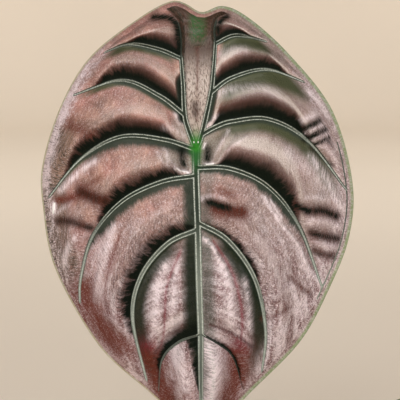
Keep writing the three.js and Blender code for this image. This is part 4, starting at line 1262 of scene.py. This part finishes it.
    # The single marks with their painted highlights, and crimson in place of red-brown beside the lower
    # midrib
    painted_shine = t.times(painted_gleam, t.ramp(t.maths("MULTIPLY_ADD", fine, 0.7, t.times(comb, 0.6)), 0.4, 0.85, 0.3, 1))
    reddened = t.times(flush, t.ramp(fine, 0.35, 0.65, 0.95, 0.7), t.ramp(comb, 0.15, 0.75, 0.75, 1))
    reddened = t.maths("MINIMUM", reddened, 0.96)
    inner = t.times(t.ramp(y, -40, -50), t.ramp(y, -104, -94), t.ramp(sideways, 34, 27))
    serration = t.times(t.ramp(strip, 0.0, 0.1), t.ramp(strip, 0.95, 0.45), t.ramp(dashes, 0.35, 0.6))

    # The rim, wider and greener on the right, and paler on the left, partly by a painted highlight
    right = t.ramp(x, -20, 30)
    rim_share = t.maths("DIVIDE", edge, t.ramp(right, 0, 1, 0.9, 2.2))
    rim_shade = t.mix(t.ramp(dashes, 0.45, 0.75, 0, 0.75), t.mix(right, LEFT_RIM_AND_HIGHLIGHT, s.rim), RIM_FLECK)

    # The colours, from the swellings up to the veins and the junction
    colour = t.layers(t.mix(patches, s.copper_dim, s.copper), [
        (t.times(blush, 0.5), BLUSH),
        (t.times(t.ramp(x, 5, 30), 0.6), GREY_CAST),
        (t.times(lens, 0.6), LENS_SHADE),
        (t.ramp(coarse, 0.75, 0.2, 0, 0.3), DULL_STREAK),
        # painted silvery sheen
        (lilac_sheen, s.lilac_sheen),
        # painted highlight on the crests
        (t.times(crest_highlight, t.ramp(x, -5, 20, 0.35, 0.85)), PAINTED_CREST_HIGHLIGHT),
        # painted light on the facets round the junction
        (lit_root, LIT_ROOT),
        # painted highlights on the folds of the lower half, and painted shadow between them
        (t.times(t.ramp(folds, 0.5, 0.82), low, 0.6), s.painted_gleam),
        (t.times(t.ramp(folds, 0.48, 0.18), low, 0.7), FOLD_SHADOW),
        # painted glints in the fine grain, then darker specks
        (t.ramp(tooth, 0.52, 0.7, 0, 0.24), s.painted_gleam),
        (t.ramp(tooth, 0.47, 0.32, 0, 0.36), TOOTH_SHADE),
        # painted glints and painted shade on the crumpled lower half
        (t.times(t.ramp(foil, 0.53, 0.62), low, 0.28), s.painted_gleam),
        (t.times(t.ramp(foil, 0.47, 0.36), low, 0.3), FOIL_SHADOW),
        (t.times(tan, 0.6), TAN),
        (t.times(tan, t.ramp(fibres, 0.5, 0.2), 0.85), DARK_HAIR),
        # painted pale sheen along the left hem
        (hem_sheen, PALE_HEM_SHEEN),
        # painted shade in the creases
        (t.times(crease_shadow, 0.55), CREASE_SHADOW),
        # painted glints
        (painted_glint, s.painted_gleam),
        (t.times(in_shadow, 0.65), BROWN_SHADOW),
        (t.times(olive, 0.97), t.mix(t.ramp(y, -30, -50), s.olive, LOW_OLIVE)),
        (t.times(in_wash, t.ramp(fine, 0.25, 0.65, 1, 0.7)), s.grey),
        (t.ramp(strip, 0, 0.15), notch_shade(t, x, y, dashes)),
        (serration, DARK_HAIR),
        # red-brown beside the furrows, partly painted shade
        (t.times(in_flush_and_shade, 0.94), s.brown_and_shade),
        # painted highlights of the single marks
        (t.maths("MINIMUM", t.times(painted_shine, 0.8), 1.0), s.painted_gleam),
        (reddened, t.mix(inner, s.flush, CRIMSON)),
        # painted warm glints
        (t.times(flush, t.ramp(tooth, 0.62, 0.72), 0.15), FLUSH_GLINT),
        (t.times(in_band, 0.98), t.mix(t.ramp(y, -35, -50), s.band, LOW_BAND)),
        # near-black of the furrows and their hairs, partly painted shade, and the painted shade of the dents
        (shade, s.furrow),
        (t.times(t.ramp(rim_share, 1, 0.35), 0.85), rim_shade),
        (on_vein, t.mix(t.ramp(y, -30, -70), s.vein, LOW_CORD)),
        # pale vein lines, partly painted highlights, with painted glints
        (t.times(on_line_and_glint, t.ramp(fine, 0.3, 0.65, 0.25, 1)), s.vein_line_and_glint),
        # the junction's green, partly painted light shining through from the stalk
        (core, t.mix(t.ramp(y, 0.5, -2.5), s.core, LOW_HEART)),
        # painted white glints where the marks shine most
        (t.ramp(painted_gleam, 1.2, 1.6), PAINTED_WHITE_GLINT),
    ])

    # Sheen on the copper alone, and a bump from grain, combed hairs, creases and lines
    plain = t.most(shade, on_vein, core, t.times(in_band, 0.7), t.times(reddened, 0.85))
    t.plug(t.ramp(plain, 0, 1, 0.6, 0.0), shader.inputs["Metallic"])
    t.plug(t.ramp(plain, 0, 1, 0.2, 0.02), shader.inputs["Coat Weight"])
    gloss = t.ramp(t.maths("MULTIPLY_ADD", painted_gleam, -0.5, fine), 0, 0.8, 0.28, 0.5)
    combed = t.times(ragged, t.ramp(furrow, -2.4, -0.4))
    height = t.maths("MULTIPLY_ADD", comb, combed, fine)
    height = t.maths("MULTIPLY_ADD", dashes, t.times(creased, 0.8), height)
    height = t.maths("MULTIPLY_ADD", lilac_sheen, crimps, height)
    height = t.maths("MULTIPLY_ADD", on_line_and_glint, 0.5, height)
    t.look(shader, colour, t.bump(height, 0.0005, 0.85), t.maths("MULTIPLY_ADD", shade, 0.15, gloss))
    return material


def under_material(s):
    """The underside: maroon, paler along the veins"""
    material, t, shader = new_material("blade_under", **{"Specular IOR Level": 0.4})
    vein, edge, _ = t.attribute("lines")
    fine, patches = t.grain(t.vector("plane"), 0.9, 0.07)
    comb = t.streaks(t.uv("veins"), 5, 0.9)
    colour = t.layers(t.mix(patches, t.mix(0.45, s.under, UNDER_DIM), s.under), [
        (t.times(comb, 0.35), UNDER_STREAK),
        (t.ramp(vein, 2, 0.9), s.under_vein),
        (t.times(t.ramp(edge, 2, 0.5), 0.6), s.rim),
    ])
    height = t.maths("MULTIPLY_ADD", comb, 0.6, fine)
    t.look(shader, colour, t.bump(height, 0.0003, 0.7), t.ramp(fine, 0.2, 0.8, 0.42, 0.62))
    return material


def stalk_material(s):
    """Green stalks with red-brown flecks along their fibres, redder at the foot"""
    material, t, shader = new_material("stalk_skin", **{"Specular IOR Level": 0.45})
    share, _, sheath = t.attribute("along")
    uv = t.uv("fibres")
    fine, _ = t.grain(t.object_place(), 900, 45)
    fibres = t.streaks(uv, 9, 0.5)
    flecks = t.streaks(uv, 4, 2.2)
    redness = t.maths("ADD", t.ramp(share, 0.75, 1, 0, 0.45), t.ramp(share, 0.35, 0, 0, 0.5))
    redness = t.maths("ADD", redness, t.times(t.ramp(flecks, 0.55, 0.85), 0.5), clamp=True)
    colour = t.layers(t.mix(fibres, s.green, t.mix(0.5, s.green, STALK_PALE)), [
        (redness, s.flush),
        (t.times(sheath, t.ramp(fibres, 0.2, 0.8, 0.1, 0.45)), SHEATH_STRAW),
    ])
    height = t.maths("MULTIPLY_ADD", fibres, 0.8, fine)
    t.look(shader, colour, t.bump(height, 0.0003, 0.7), t.ramp(fine, 0.2, 0.8, 0.34, 0.5))
    return material


def husk_material(s):
    """Dry fibrous brown round the crown"""
    material, t, shader = new_material("crown_husk", **{"Specular IOR Level": 0.25})
    place = t.object_place()
    fine, patches = t.grain(place, 800, 90)
    fibre = t.noise(t.stretch(place, (900, 900, 60)), 1, 3, 0.6)
    colour = t.mix(patches, s.husk, HUSK_SHADE)
    colour = t.mix(t.ramp(fibre, 0.4, 0.7, 0, 0.7), colour, HUSK_STRAW)
    height = t.maths("ADD", fibre, fine)
    t.look(shader, colour, t.bump(height, 0.0006, 0.9), t.ramp(fibre, 0.2, 0.8, 0.7, 0.9))
    return material


def clay_material(s):
    """Matt clay, mottled, with a pale mineral bloom near the foot and the collar's lip"""
    material, t, shader = new_material("pot_clay", **{"Specular IOR Level": 0.25})
    place = t.object_place()
    up = t.add("SeparateXYZ", {0: place}).outputs[2]
    fine, patches = t.grain(place, 700, 16)
    rings = t.noise(t.stretch(place, (3, 3, 260)), 1, 2, 0.5)
    foot_and_lip = t.maths("ADD", t.ramp(up, 0.055, 0.0, 0, 1), t.ramp(up, 0.118, 0.136, 0, 0.6), clamp=True)
    blotch = t.ramp(t.noise(place, 38, 4, 0.6), 0.42, 0.68)
    colour = t.layers(t.mix(patches, t.mix(0.35, s.clay, CLAY_SHADE), s.clay), [
        (t.ramp(fine, 0.4, 0.75, 0, 0.3), CLAY_SPECK),
        (t.times(foot_and_lip, blotch, 0.75), s.bloom),
    ])
    height = t.maths("MULTIPLY_ADD", rings, 0.8, fine)
    t.look(shader, colour, t.bump(height, 0.0005, 0.7), t.ramp(fine, 0.2, 0.8, 0.72, 0.9))
    return material


def soil_material(s):
    """Dark crumbly mix"""
    material, t, shader = new_material("mix_ground", **{"Specular IOR Level": 0.2, "Roughness": 0.95})
    place = t.object_place()
    fine, patches = t.grain(place, 600, 120)
    crumbs = t.ramp(t.noise(place, 380, 3, 0.6), 0.45, 0.7)
    colour = t.mix(patches, s.soil, SOIL_PATCH)
    colour = t.mix(t.times(crumbs, 0.6), colour, SOIL_CRUMB)
    t.look(shader, colour, t.bump(t.maths("ADD", crumbs, fine), 0.0015, 0.9))
    return material


def bark_material(s):
    """Bark in shades that differ from chip to chip"""
    material, t, shader = new_material("bark", **{"Specular IOR Level": 0.3})
    tint = t.add("Attribute", attribute_name="tint").outputs["Fac"]
    fine, patches = t.grain(t.object_place(), 900, 200)
    colour = t.mix(tint, s.bark, BARK_PALE)
    colour = t.mix(t.times(patches, 0.5), colour, BARK_SHADE)
    t.look(shader, colour, t.bump(fine, 0.0006, 0.8), t.ramp(fine, 0.2, 0.8, 0.65, 0.85))
    return material


def grain_material(s):
    """Pale porous grains"""
    material, t, shader = new_material("pale_grain", **{"Specular IOR Level": 0.3})
    fine, patches = t.grain(t.object_place(), 1500, 300)
    colour = t.mix(patches, s.grain, PALE_GRAIN_SHADE)
    t.look(shader, colour, t.bump(fine, 0.0004, 0.8), t.ramp(fine, 0.2, 0.8, 0.7, 0.9))
    return material


def stage_material(s):
    """Matt paper in two shades that hardly differ"""
    material, t, shader = new_material("stage_paper", **{"Specular IOR Level": 0.2, "Roughness": 0.9})
    _, patches = t.grain(t.object_place(), 120, 0.8)
    paler = tuple(min(1, 1.03 * v) for v in s.floor)
    t.plug(t.mix(patches, s.floor, paler), shader.inputs["Base Color"])
    return material


# The stalks

def stalk_curve(leaf):
    """The stalk's line from the crown to under the blade, in mm, and which way the blade faces there"""
    scale, junction = leaf["scale"], np.array(leaf["junction"], dtype=float)
    turned = place_of(leaf).to_3x3() @ Vector((0, 0, 1))
    normal = np.array(turned) / turned.length
    root = math.radians(leaf["root"])
    foot = np.array([STALK_RING * math.cos(root), STALK_RING * math.sin(root), STALK_FOOT])
    end = junction - normal * (BLADE_THICKNESS + JUNCTION_DEPTH * scale + STALK_CLEARANCE)
    rise = end[2] - foot[2]
    rising = foot + [(end[0] - foot[0]) * 0.03, (end[1] - foot[1]) * 0.03, rise * 0.6]
    arriving = end - normal * rise * 0.26
    w = np.linspace(0, 1, 1200)[:, None]
    line = (1 - w) ** 3 * foot + 3 * w * (1 - w) ** 2 * rising + 3 * w * w * (1 - w) * arriving + w**3 * end
    return line, normal


def build_stalk(leaf, s):
    """One ribbed stalk, with the wings of its sheath at the foot"""
    line, normal = stalk_curve(leaf)
    run = np.concatenate([[0], np.cumsum(np.linalg.norm(np.diff(line, axis=0), axis=1))])
    rings = s.steps + 1
    share = np.linspace(0, 1, rings)
    centre = np.stack([np.interp(share * run[-1], run, line[:, k]) for k in range(3)], 1)
    tangent = np.gradient(centre, axis=0)
    tangent /= np.linalg.norm(tangent, axis=1)[:, None]
    centre[-1] += normal * STALK_RUN_IN
    away = math.atan2(leaf["junction"][1], leaf["junction"][0])
    sideways = np.array([-math.sin(away), math.cos(away), 0])
    outer = np.cross(sideways, tangent)
    outer /= np.linalg.norm(outer, axis=1)[:, None]
    side = np.cross(outer, tangent)
    sheath = 1 - smooth(share, SHEATH_SHARE * 0.4, SHEATH_SHARE)
    foot_radius = STALK_FOOT_RADIUS * (0.55 + 0.45 * leaf["scale"])
    ease = smooth(share, 0, 0.95)
    radius = foot_radius * (0.86 + 0.14 * sheath) * (1 - ease) + leaf["thickness"] * ease
    radius *= 1 + 0.1 * np.exp(-(((share - 0.97) / 0.02) ** 2))
    angle = np.arange(s.sides) / s.sides * 2 * np.pi
    signed = np.minimum(angle, 2 * np.pi - angle)
    wing = np.exp(-((np.degrees(signed) - 36) / 13) ** 2) * 1.1 - np.exp(-((np.degrees(signed) / 18) ** 2))
    ribs = 0.012 * np.cos(8 * angle) + 0.008 * np.cos(13 * angle + 1)
    reach = radius[:, None] * (1 + ribs) + sheath[:, None] * wing
    reach += 0.12 * noise(np.broadcast_to(angle * 2, reach.shape), share[:, None] * 40, leaf["root"])
    ring = (centre[:, None] - outer[:, None] * (np.cos(angle)[:, None] * reach[..., None])
            + side[:, None] * (np.sin(angle)[:, None] * reach[..., None]))
    points = ring.reshape(-1, 3) * MM
    faces = []
    for i in range(rings - 1):
        for j in range(s.sides):
            k = (j + 1) % s.sides
            faces.append((i * s.sides + j, i * s.sides + k, (i + 1) * s.sides + k, (i + 1) * s.sides + j))
    faces.append(tuple(range(s.sides))[::-1])
    faces.append(tuple((rings - 1) * s.sides + j for j in range(s.sides)))
    mesh = bpy.data.meshes.new("stalk_" + leaf["name"])
    mesh.from_pydata(points.tolist(), [], faces)
    values = np.zeros((rings, s.sides, 3))
    values[..., 0], values[..., 1], values[..., 2] = share[:, None], np.cos(angle), sheath[:, None]
    write_vectors(mesh, "along", values)
    round_cm, length_cm = 2 * np.pi * 0.35, run[-1] / 10
    corners = []
    for i in range(rings - 1):
        for j in range(s.sides):
            for di, dj in ((0, 0), (0, 1), (1, 1), (1, 0)):
                corners.append(((j + dj) / s.sides * round_cm, share[i + di] * length_cm))
    corners += [(0, 0)] * (2 * s.sides)
    write_uv(mesh, "fibres", corners)
    return object_of("leaf_stalk_" + leaf["name"], mesh)


# The crown, the mix and the pot

def lathe(name, sides, profile):
    """A solid turned from a filled disc: each further radius and height is an extrusion of its top face"""
    bpy.ops.object.select_all(action="DESELECT")
    first_radius, first_height = profile[0]
    bpy.ops.mesh.primitive_circle_add(
        vertices=sides, radius=first_radius * MM, fill_type="NGON", location=(0, 0, first_height * MM))
    piece = settle(bpy.context.object)
    piece.name = piece.data.name = name
    bpy.ops.object.mode_set(mode="EDIT")
    bpy.ops.mesh.select_all(action="SELECT")
    for (r0, z0), (r1, z1) in zip(profile, profile[1:]):
        bpy.ops.mesh.extrude_region_move(TRANSFORM_OT_translate={"value": (0, 0, (z1 - z0) * MM)})
        share = r1 / r0
        bpy.ops.transform.resize(value=(share, share, 1), center_override=(0, 0, z1 * MM))
    bpy.ops.object.mode_set(mode="OBJECT")
    face_outwards(piece)
    return piece


def smooth_shade(piece, degrees=35):
    """Shades a piece smooth, except at edges sharper than an angle"""
    only(piece)
    bpy.ops.object.shade_smooth_by_angle(angle=math.radians(degrees))


def mix_height(x, y):
    """Height of the mix, which rises a little towards the crown"""
    r = np.hypot(x, y)
    waves = 1.1 * np.sin(x * 0.21 + 1) * np.cos(y * 0.17 - 0.6) + 0.6 * np.sin(x * 0.43 - y * 0.37)
    return MIX_TOP + MIX_RISE * (1 - smooth(r, 12, 62)) + waves


def pot_inside(z):
    """Radius of the pot's inside at a height"""
    return POT_BASE_RADIUS + (POT_TOP_RADIUS - COLLAR_DEPTH - POT_BASE_RADIUS) * z / POT_HEIGHT - POT_WALL


def build_pot(s):
    """The pot: turned in one profile up the outside and down the inside, then drilled and bevelled"""
    shoulder = POT_HEIGHT - COLLAR_HEIGHT
    body = pot_inside(shoulder) + POT_WALL
    top, foot = POT_TOP_RADIUS, POT_BASE_RADIUS
    profile = [
        (foot - 2, 0), (foot, 2), (body, shoulder - 3), (body + 3.5, shoulder), (top, shoulder + 4),
        (top, POT_HEIGHT - 3), (top - 3, POT_HEIGHT), (top - 6.5, POT_HEIGHT),
        (pot_inside(POT_HEIGHT - 4), POT_HEIGHT - 4), (pot_inside(POT_FLOOR + 4), POT_FLOOR + 4),
        (pot_inside(POT_FLOOR) - 4, POT_FLOOR),
    ]
    pot = lathe("clay_pot", s.sides, profile)
    for k in range(DRAIN_HOLES):
        turn = math.radians(45 + 90 * k)
        place = (DRAIN_CIRCLE * MM * math.cos(turn), DRAIN_CIRCLE * MM * math.sin(turn), 0)
        bpy.ops.object.select_all(action="DESELECT")
        bpy.ops.mesh.primitive_cylinder_add(
            vertices=DRAIN_SIDES, radius=DRAIN_RADIUS * MM, depth=DRAIN_DEPTH * MM, location=place)
        drill = settle(bpy.context.object)
        apply_modifier(pot, "BOOLEAN", object=drill, operation="DIFFERENCE", solver="EXACT")
        bpy.data.objects.remove(drill)
    apply_modifier(pot, "BEVEL", width=POT_BEVEL * MM, segments=3, limit_method="ANGLE",
                   angle_limit=math.radians(16))
    smooth_shade(pot)
    dress(pot, clay_material(s))
    return pot


def build_ground(s):
    """The mix itself, which fills the pot and is crumbly on top"""
    edge = pot_inside(MIX_TOP) - 0.3
    profile = [(pot_inside(POT_FLOOR + 4.3) - 0.4, POT_FLOOR + 4.3), (edge, MIX_TOP - 0.5)]
    profile += [(edge * share, MIX_TOP) for share in np.linspace(0.985, 0.02, GROUND_RINGS)]
    ground = lathe("potting_ground", GROUND_SIDES, profile)
    points = read_points(ground)
    x, y, z = points.T / MM
    top = z > MIX_TOP - 0.2
    rough = 0.8 * noise(x / 4.2, y / 4.2, 5) + 0.5 * noise(x / 1.7 + 9, y / 1.7, 6)
    points[top, 2] = (mix_height(x, y) + rough * smooth(np.hypot(x, y), edge, edge - 3))[top] * MM
    write_points(ground, points)
    smooth_shade(ground, 60)
    dress(ground, soil_material(s))
    return ground


def scattered(name, base, places, material, tints):
    """Many small solids as one mesh: copies of a base piece by matrices, each with its tint"""
    verts, polygons = read_points(base), [tuple(p.vertices) for p in base.data.polygons]
    points, faces = [], []
    for matrix in places:
        shift = len(points)
        points.extend(matrix @ Vector(v) for v in verts)
        faces.extend(tuple(shift + k for k in f) for f in polygons)
    mesh = bpy.data.meshes.new(name)
    mesh.from_pydata([tuple(p) for p in points], [], faces)
    data = mesh.attributes.new("tint", "FLOAT", "POINT")
    data.data.foreach_set("value", np.repeat(np.array(tints, dtype=np.float32), len(verts)))
    mesh.update()
    bpy.data.objects.remove(base)
    piece = object_of(name, mesh)
    smooth_shade(piece, 40)
    dress(piece, material)
    return piece


def chip_base(seed, flat):
    """One broken chip, 1 across: a cube cut into quarters, rounded and roughened"""
    bpy.ops.object.select_all(action="DESELECT")
    bpy.ops.mesh.primitive_cube_add(size=1, location=(0, 0, 0), scale=(1, 0.72, flat))
    chip = settle(bpy.context.object)
    bpy.ops.object.mode_set(mode="EDIT")
    bpy.ops.mesh.select_all(action="SELECT")
    bpy.ops.mesh.subdivide(number_cuts=1, smoothness=0.5)
    bpy.ops.object.mode_set(mode="OBJECT")
    draw = np.random.RandomState(seed)
    points = read_points(chip)
    write_points(chip, points + draw.uniform(-0.09, 0.09, points.shape) * (1, 1, flat * 1.6))
    return chip


def chip_places(count, low, high, seed, sink, clear):
    """Places for chips from low to high across, on the mix outside the radius clear, and their tints"""
    draw = random.Random(seed)
    edge = pot_inside(MIX_TOP) - 2.5
    places, tints = [], []
    while len(places) < count:
        turn, away = draw.uniform(0, 2 * math.pi), edge * math.sqrt(draw.random())
        size = draw.uniform(low, high)
        if not clear < away < edge - size / 2:
            continue
        x, y = away * math.cos(turn), away * math.sin(turn)
        z = float(mix_height(np.array(x), np.array(y))) + size * sink
        spin = Matrix.Rotation(draw.uniform(0, 2 * math.pi), 4, "Z")
        lean = Matrix.Rotation(draw.uniform(-0.5, 0.5), 4, "X")
        lean = lean @ Matrix.Rotation(draw.uniform(-0.4, 0.4), 4, "Y")
        place = Matrix.Translation((x * MM, y * MM, z * MM))
        places.append(place @ spin @ lean @ Matrix.Scale(size * MM, 4))
        tints.append(draw.random())
    return places, tints


def build_mix(s):
    """The mix with its flat bark chips and its rounder pale grains"""
    chips, chip_tints = chip_places(s.chips, low=4, high=12, seed=11, sink=0.08, clear=CROWN_RADIUS - 1)
    chip = chip_base(seed=3, flat=0.34)
    bark = scattered("bark_chips", chip, chips, bark_material(s), chip_tints)
    grains, grain_tints = chip_places(s.grains, low=2, high=4.5, seed=23, sink=0.25, clear=CROWN_RADIUS)
    grain = chip_base(seed=8, flat=0.75)
    pale = scattered("pale_grains", grain, grains, grain_material(s), grain_tints)
    return [build_ground(s), bark, pale]


def build_crown(s):
    """The crown: a turned stub, swollen here and there and ribbed"""
    radius, foot, top = CROWN_RADIUS, CROWN_FOOT, CROWN_TOP
    profile = [(radius - 3, foot), (radius, foot + 4)] + [(radius, z) for z in range(foot + 8, top - 6, 2)]
    profile += [(radius - 0.6, top - 6), (radius - 1.5, top - 4), (radius - 3, top - 2.2),
                (radius - 5.5, top - 1), (radius - 9, top - 0.4), (1, top)]
    crown = lathe("crown_stem", CROWN_SIDES, profile)
    points = read_points(crown)
    x, y, z = points.T / MM
    turn = np.arctan2(y, x)
    swell = 0.6 * noise(turn * 3 + 20, z / 6, 2) + 0.35 * np.sin(9 * turn + z * 0.2)
    points[:, 0] *= 1 + swell / radius
    points[:, 1] *= 1 + swell / radius
    write_points(crown, points)
    smooth_shade(crown, 60)
    dress(crown, husk_material(s))
    return crown


def build_husks(s):
    """The dry old sheaths that stand round the crown, each a strip bent round it that narrows to its top"""
    draw = random.Random(5)
    husks = []
    for k in range(SHEATHS):
        bpy.ops.object.select_all(action="DESELECT")
        bpy.ops.mesh.primitive_grid_add(x_subdivisions=14, y_subdivisions=22, size=1, location=(0, 0, 0))
        husk = settle(bpy.context.object)
        husk.name = husk.data.name = f"dry_sheath_{k + 1}"
        points = read_points(husk)
        across, up = points[:, 0] * 2, points[:, 1] + 0.5
        tall, wide = draw.uniform(17, 27), draw.uniform(0.42, 0.62)
        turn = 2 * math.pi * (k + draw.uniform(-0.2, 0.2)) / SHEATHS
        narrow = 1 - smooth(up, 0.25, 1) * 0.93
        angle = turn + across * wide * narrow
        lean = draw.uniform(1, 4)
        reach = (CROWN_RADIUS + 0.5 + 0.3 * (k % 3) - 1.6 * smooth(up, 0.1, 0.6) + lean * up**3
                 + 0.5 * np.sin(across * 7 + k) * up + 0.4 * noise(across * 2 + k, up * 5, k))
        points = np.stack([reach * np.cos(angle), reach * np.sin(angle), SHEATH_FOOT + tall * up], 1) * MM
        write_points(husk, points)
        apply_modifier(husk, "SOLIDIFY", thickness=SHEATH_THICKNESS * MM, offset=0)
        face_outwards(husk)
        smooth_shade(husk, 50)
        husks.append(husk)
    return husks


# The stage

def area_light(name, watts, size, place, target, tint):
    """A square lamp that shines at a target and isn't seen itself"""
    bpy.ops.object.select_all(action="DESELECT")
    bpy.ops.object.light_add(type="AREA", location=place)
    lamp = bpy.context.object
    lamp.name = name
    lamp.rotation_mode = "QUATERNION"
    lamp.rotation_quaternion = (Vector(target) - Vector(place)).to_track_quat("-Z", "Y")
    lamp.data.energy = watts
    lamp.data.size = size
    lamp.data.color = tint
    lamp.visible_camera = False
    return lamp


def build_floor(s):
    """A round floor that curves up into a wall all round"""
    bpy.ops.object.select_all(action="DESELECT")
    bpy.ops.mesh.primitive_circle_add(
        vertices=FLOOR_SIDES, radius=FLOOR_RADIUS, fill_type="NGON", location=(0, 0, 0))
    floor = settle(bpy.context.object)
    floor.name = floor.data.name = "stage_floor"
    bpy.ops.object.mode_set(mode="EDIT")
    bpy.ops.mesh.select_mode(type="EDGE")
    bpy.ops.mesh.select_all(action="SELECT")
    step = math.pi / 2 / COVE_STEPS
    for k in range(1, COVE_STEPS + 1):
        turn = step * k
        reach, before = (FLOOR_RADIUS + COVE_RADIUS * math.sin(angle) for angle in (turn, turn - step))
        rise = COVE_RADIUS * (math.cos(turn - step) - math.cos(turn))
        bpy.ops.mesh.extrude_edges_move(TRANSFORM_OT_translate={"value": (0, 0, rise)})
        bpy.ops.transform.resize(value=(reach / before, reach / before, 1), center_override=(0, 0, 0))
    bpy.ops.mesh.extrude_edges_move(TRANSFORM_OT_translate={"value": (0, 0, WALL_HEIGHT)})
    bpy.ops.object.mode_set(mode="OBJECT")
    smooth_shade(floor, 60)
    dress(floor, stage_material(s))


def build_stage(s):
    """The floor, the camera square on to the front blade, the lamps and the surrounding light"""
    build_floor(s)
    scene = bpy.context.scene
    place = place_of(LEAVES[0])
    normal = (place.to_3x3() @ Vector((0, 0, 1))).normalized()
    aim = place @ Vector(CAMERA_AIM)
    bpy.ops.object.camera_add(location=aim + normal * CAMERA_AWAY)
    camera = bpy.context.object
    camera.name = "photo_camera"
    camera.rotation_mode = "QUATERNION"
    camera.rotation_quaternion = (-normal).to_track_quat("-Z", "Y")
    camera.data.sensor_width = 36
    camera.data.lens = LENS
    camera.data.clip_start = 0.01
    camera.data.dof.use_dof = False
    scene.camera = camera

    area_light("key_light", s.key, 1.6, aim + Vector((-0.5, -1.8, 2.1)), aim, (1, 0.98, 0.96))
    area_light("fill_light", s.fill, 1.4, aim + Vector((2, -2, 0.9)), aim, (0.95, 0.97, 1))
    area_light("low_light", s.low, 0.8, aim + Vector((-1, -2.4, 0.4)), aim, (1, 0.96, 0.97))
    for name, x in (("left_back_light", -1.3), ("right_back_light", 1.3)):
        area_light(name, s.back, 1.2, Vector((x, 1.4, 1.6)), Vector((0.4 * x, 4, 0.6)), (1, 0.96, 0.9))
    world = bpy.data.worlds.new("soft_room")
    world.use_nodes = True
    background = world.node_tree.nodes["Background"]
    background.inputs["Color"].default_value = (1, 0.97, 0.93, 1)
    background.inputs["Strength"].default_value = s.world
    scene.world = world
    scene.view_settings.view_transform = "Standard"


# Operators, panel and registration

def hand_over(piece, slot, *nodes):
    """A finished piece rides on the part's only body and stands for its nodes of the frame"""
    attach(piece, "root")
    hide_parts(*nodes)


class AddStage(bpy.types.Operator):
    """Add the floor, the camera and the lights"""
    bl_idname = "alocasia.stage"
    bl_label = "Stage"

    def execute(self, context):
        build_stage(context.scene.alocasia_stage)
        return {"FINISHED"}


class AddBlades(bpy.types.Operator):
    """Add the five leaf blades"""
    bl_idname = "alocasia.blades"
    bl_label = "Blades"

    def execute(self, context):
        settings = context.scene.alocasia_blades
        plans = {}
        upper, under = upper_material(settings), under_material(settings)
        for leaf in LEAVES:
            if leaf["detail"] not in plans:
                plans[leaf["detail"]] = Plan(leaf["detail"], settings)
            blade = build_blade(leaf, plans[leaf["detail"]], settings)
            dress(blade, upper, under)
            hand_over(blade, "blade", "blade_" + leaf["name"])
        return {"FINISHED"}


class AddStalks(bpy.types.Operator):
    """Add the stalks of the leaves"""
    bl_idname = "alocasia.stalks"
    bl_label = "Stalks"

    def execute(self, context):
        settings = context.scene.alocasia_stalks
        skin = stalk_material(settings)
        for leaf in LEAVES:
            stalk = build_stalk(leaf, settings)
            dress(stalk, skin)
            hand_over(stalk, "stalk", "stalk_" + leaf["name"])
        return {"FINISHED"}


class AddCrown(bpy.types.Operator):
    """Add the crown and the dry sheaths round it"""
    bl_idname = "alocasia.crown"
    bl_label = "Crown"

    def execute(self, context):
        settings = context.scene.alocasia_stalks
        crown = build_crown(settings)
        hand_over(crown, "crown", "crown")
        for husk in build_husks(settings):
            dress(husk, crown.data.materials[0])
            hand_over(husk, "crown", "crown")
        return {"FINISHED"}


class AddMix(bpy.types.Operator):
    """Add the potting mix with its bark and pale grains"""
    bl_idname = "alocasia.mix"
    bl_label = "Potting mix"

    def execute(self, context):
        for piece in build_mix(context.scene.alocasia_pot):
            hand_over(piece, "mix", "potting_mix")
        return {"FINISHED"}


class AddPot(bpy.types.Operator):
    """Add the clay pot"""
    bl_idname = "alocasia.pot"
    bl_label = "Pot"

    def execute(self, context):
        hand_over(build_pot(context.scene.alocasia_pot), "clay", "pot")
        return {"FINISHED"}


class AlocasiaPanel(bpy.types.Panel):
    """The operators and their settings, in the 3D view's sidebar"""
    bl_idname = "VIEW3D_PT_alocasia"
    bl_label = "Potted alocasia"
    bl_space_type = "VIEW_3D"
    bl_region_type = "UI"
    bl_category = "Alocasia"

    def draw(self, context):
        for operator in OPERATORS:
            self.layout.operator(operator.bl_idname)
        for group in SETTINGS:
            settings = getattr(context.scene, group)
            box = self.layout.box()
            for name in settings.__annotations__:
                box.prop(settings, name)


OPERATORS = (AddStage, AddPot, AddMix, AddCrown, AddStalks, AddBlades)
SETTINGS = {
    "alocasia_blades": BladeSettings,
    "alocasia_stalks": StalkSettings,
    "alocasia_pot": PotSettings,
    "alocasia_stage": StageSettings,
}
CLASSES = (*SETTINGS.values(), *OPERATORS, AlocasiaPanel)


def register():
    """Makes the classes and their settings known"""
    for cls in CLASSES:
        bpy.utils.register_class(cls)
    for name, settings in SETTINGS.items():
        setattr(bpy.types.Scene, name, PointerProperty(type=settings))


def unregister():
    """Takes the classes and their settings away again"""
    for name in SETTINGS:
        delattr(bpy.types.Scene, name)
    for cls in reversed(CLASSES):
        bpy.utils.unregister_class(cls)


def main():
    """Adds the stage and the whole plant"""
    register()
    bpy.ops.alocasia.stage()
    bpy.ops.alocasia.pot()
    bpy.ops.alocasia.mix()
    bpy.ops.alocasia.crown()
    bpy.ops.alocasia.stalks()
    bpy.ops.alocasia.blades()


if __name__ == "__main__":
    main()
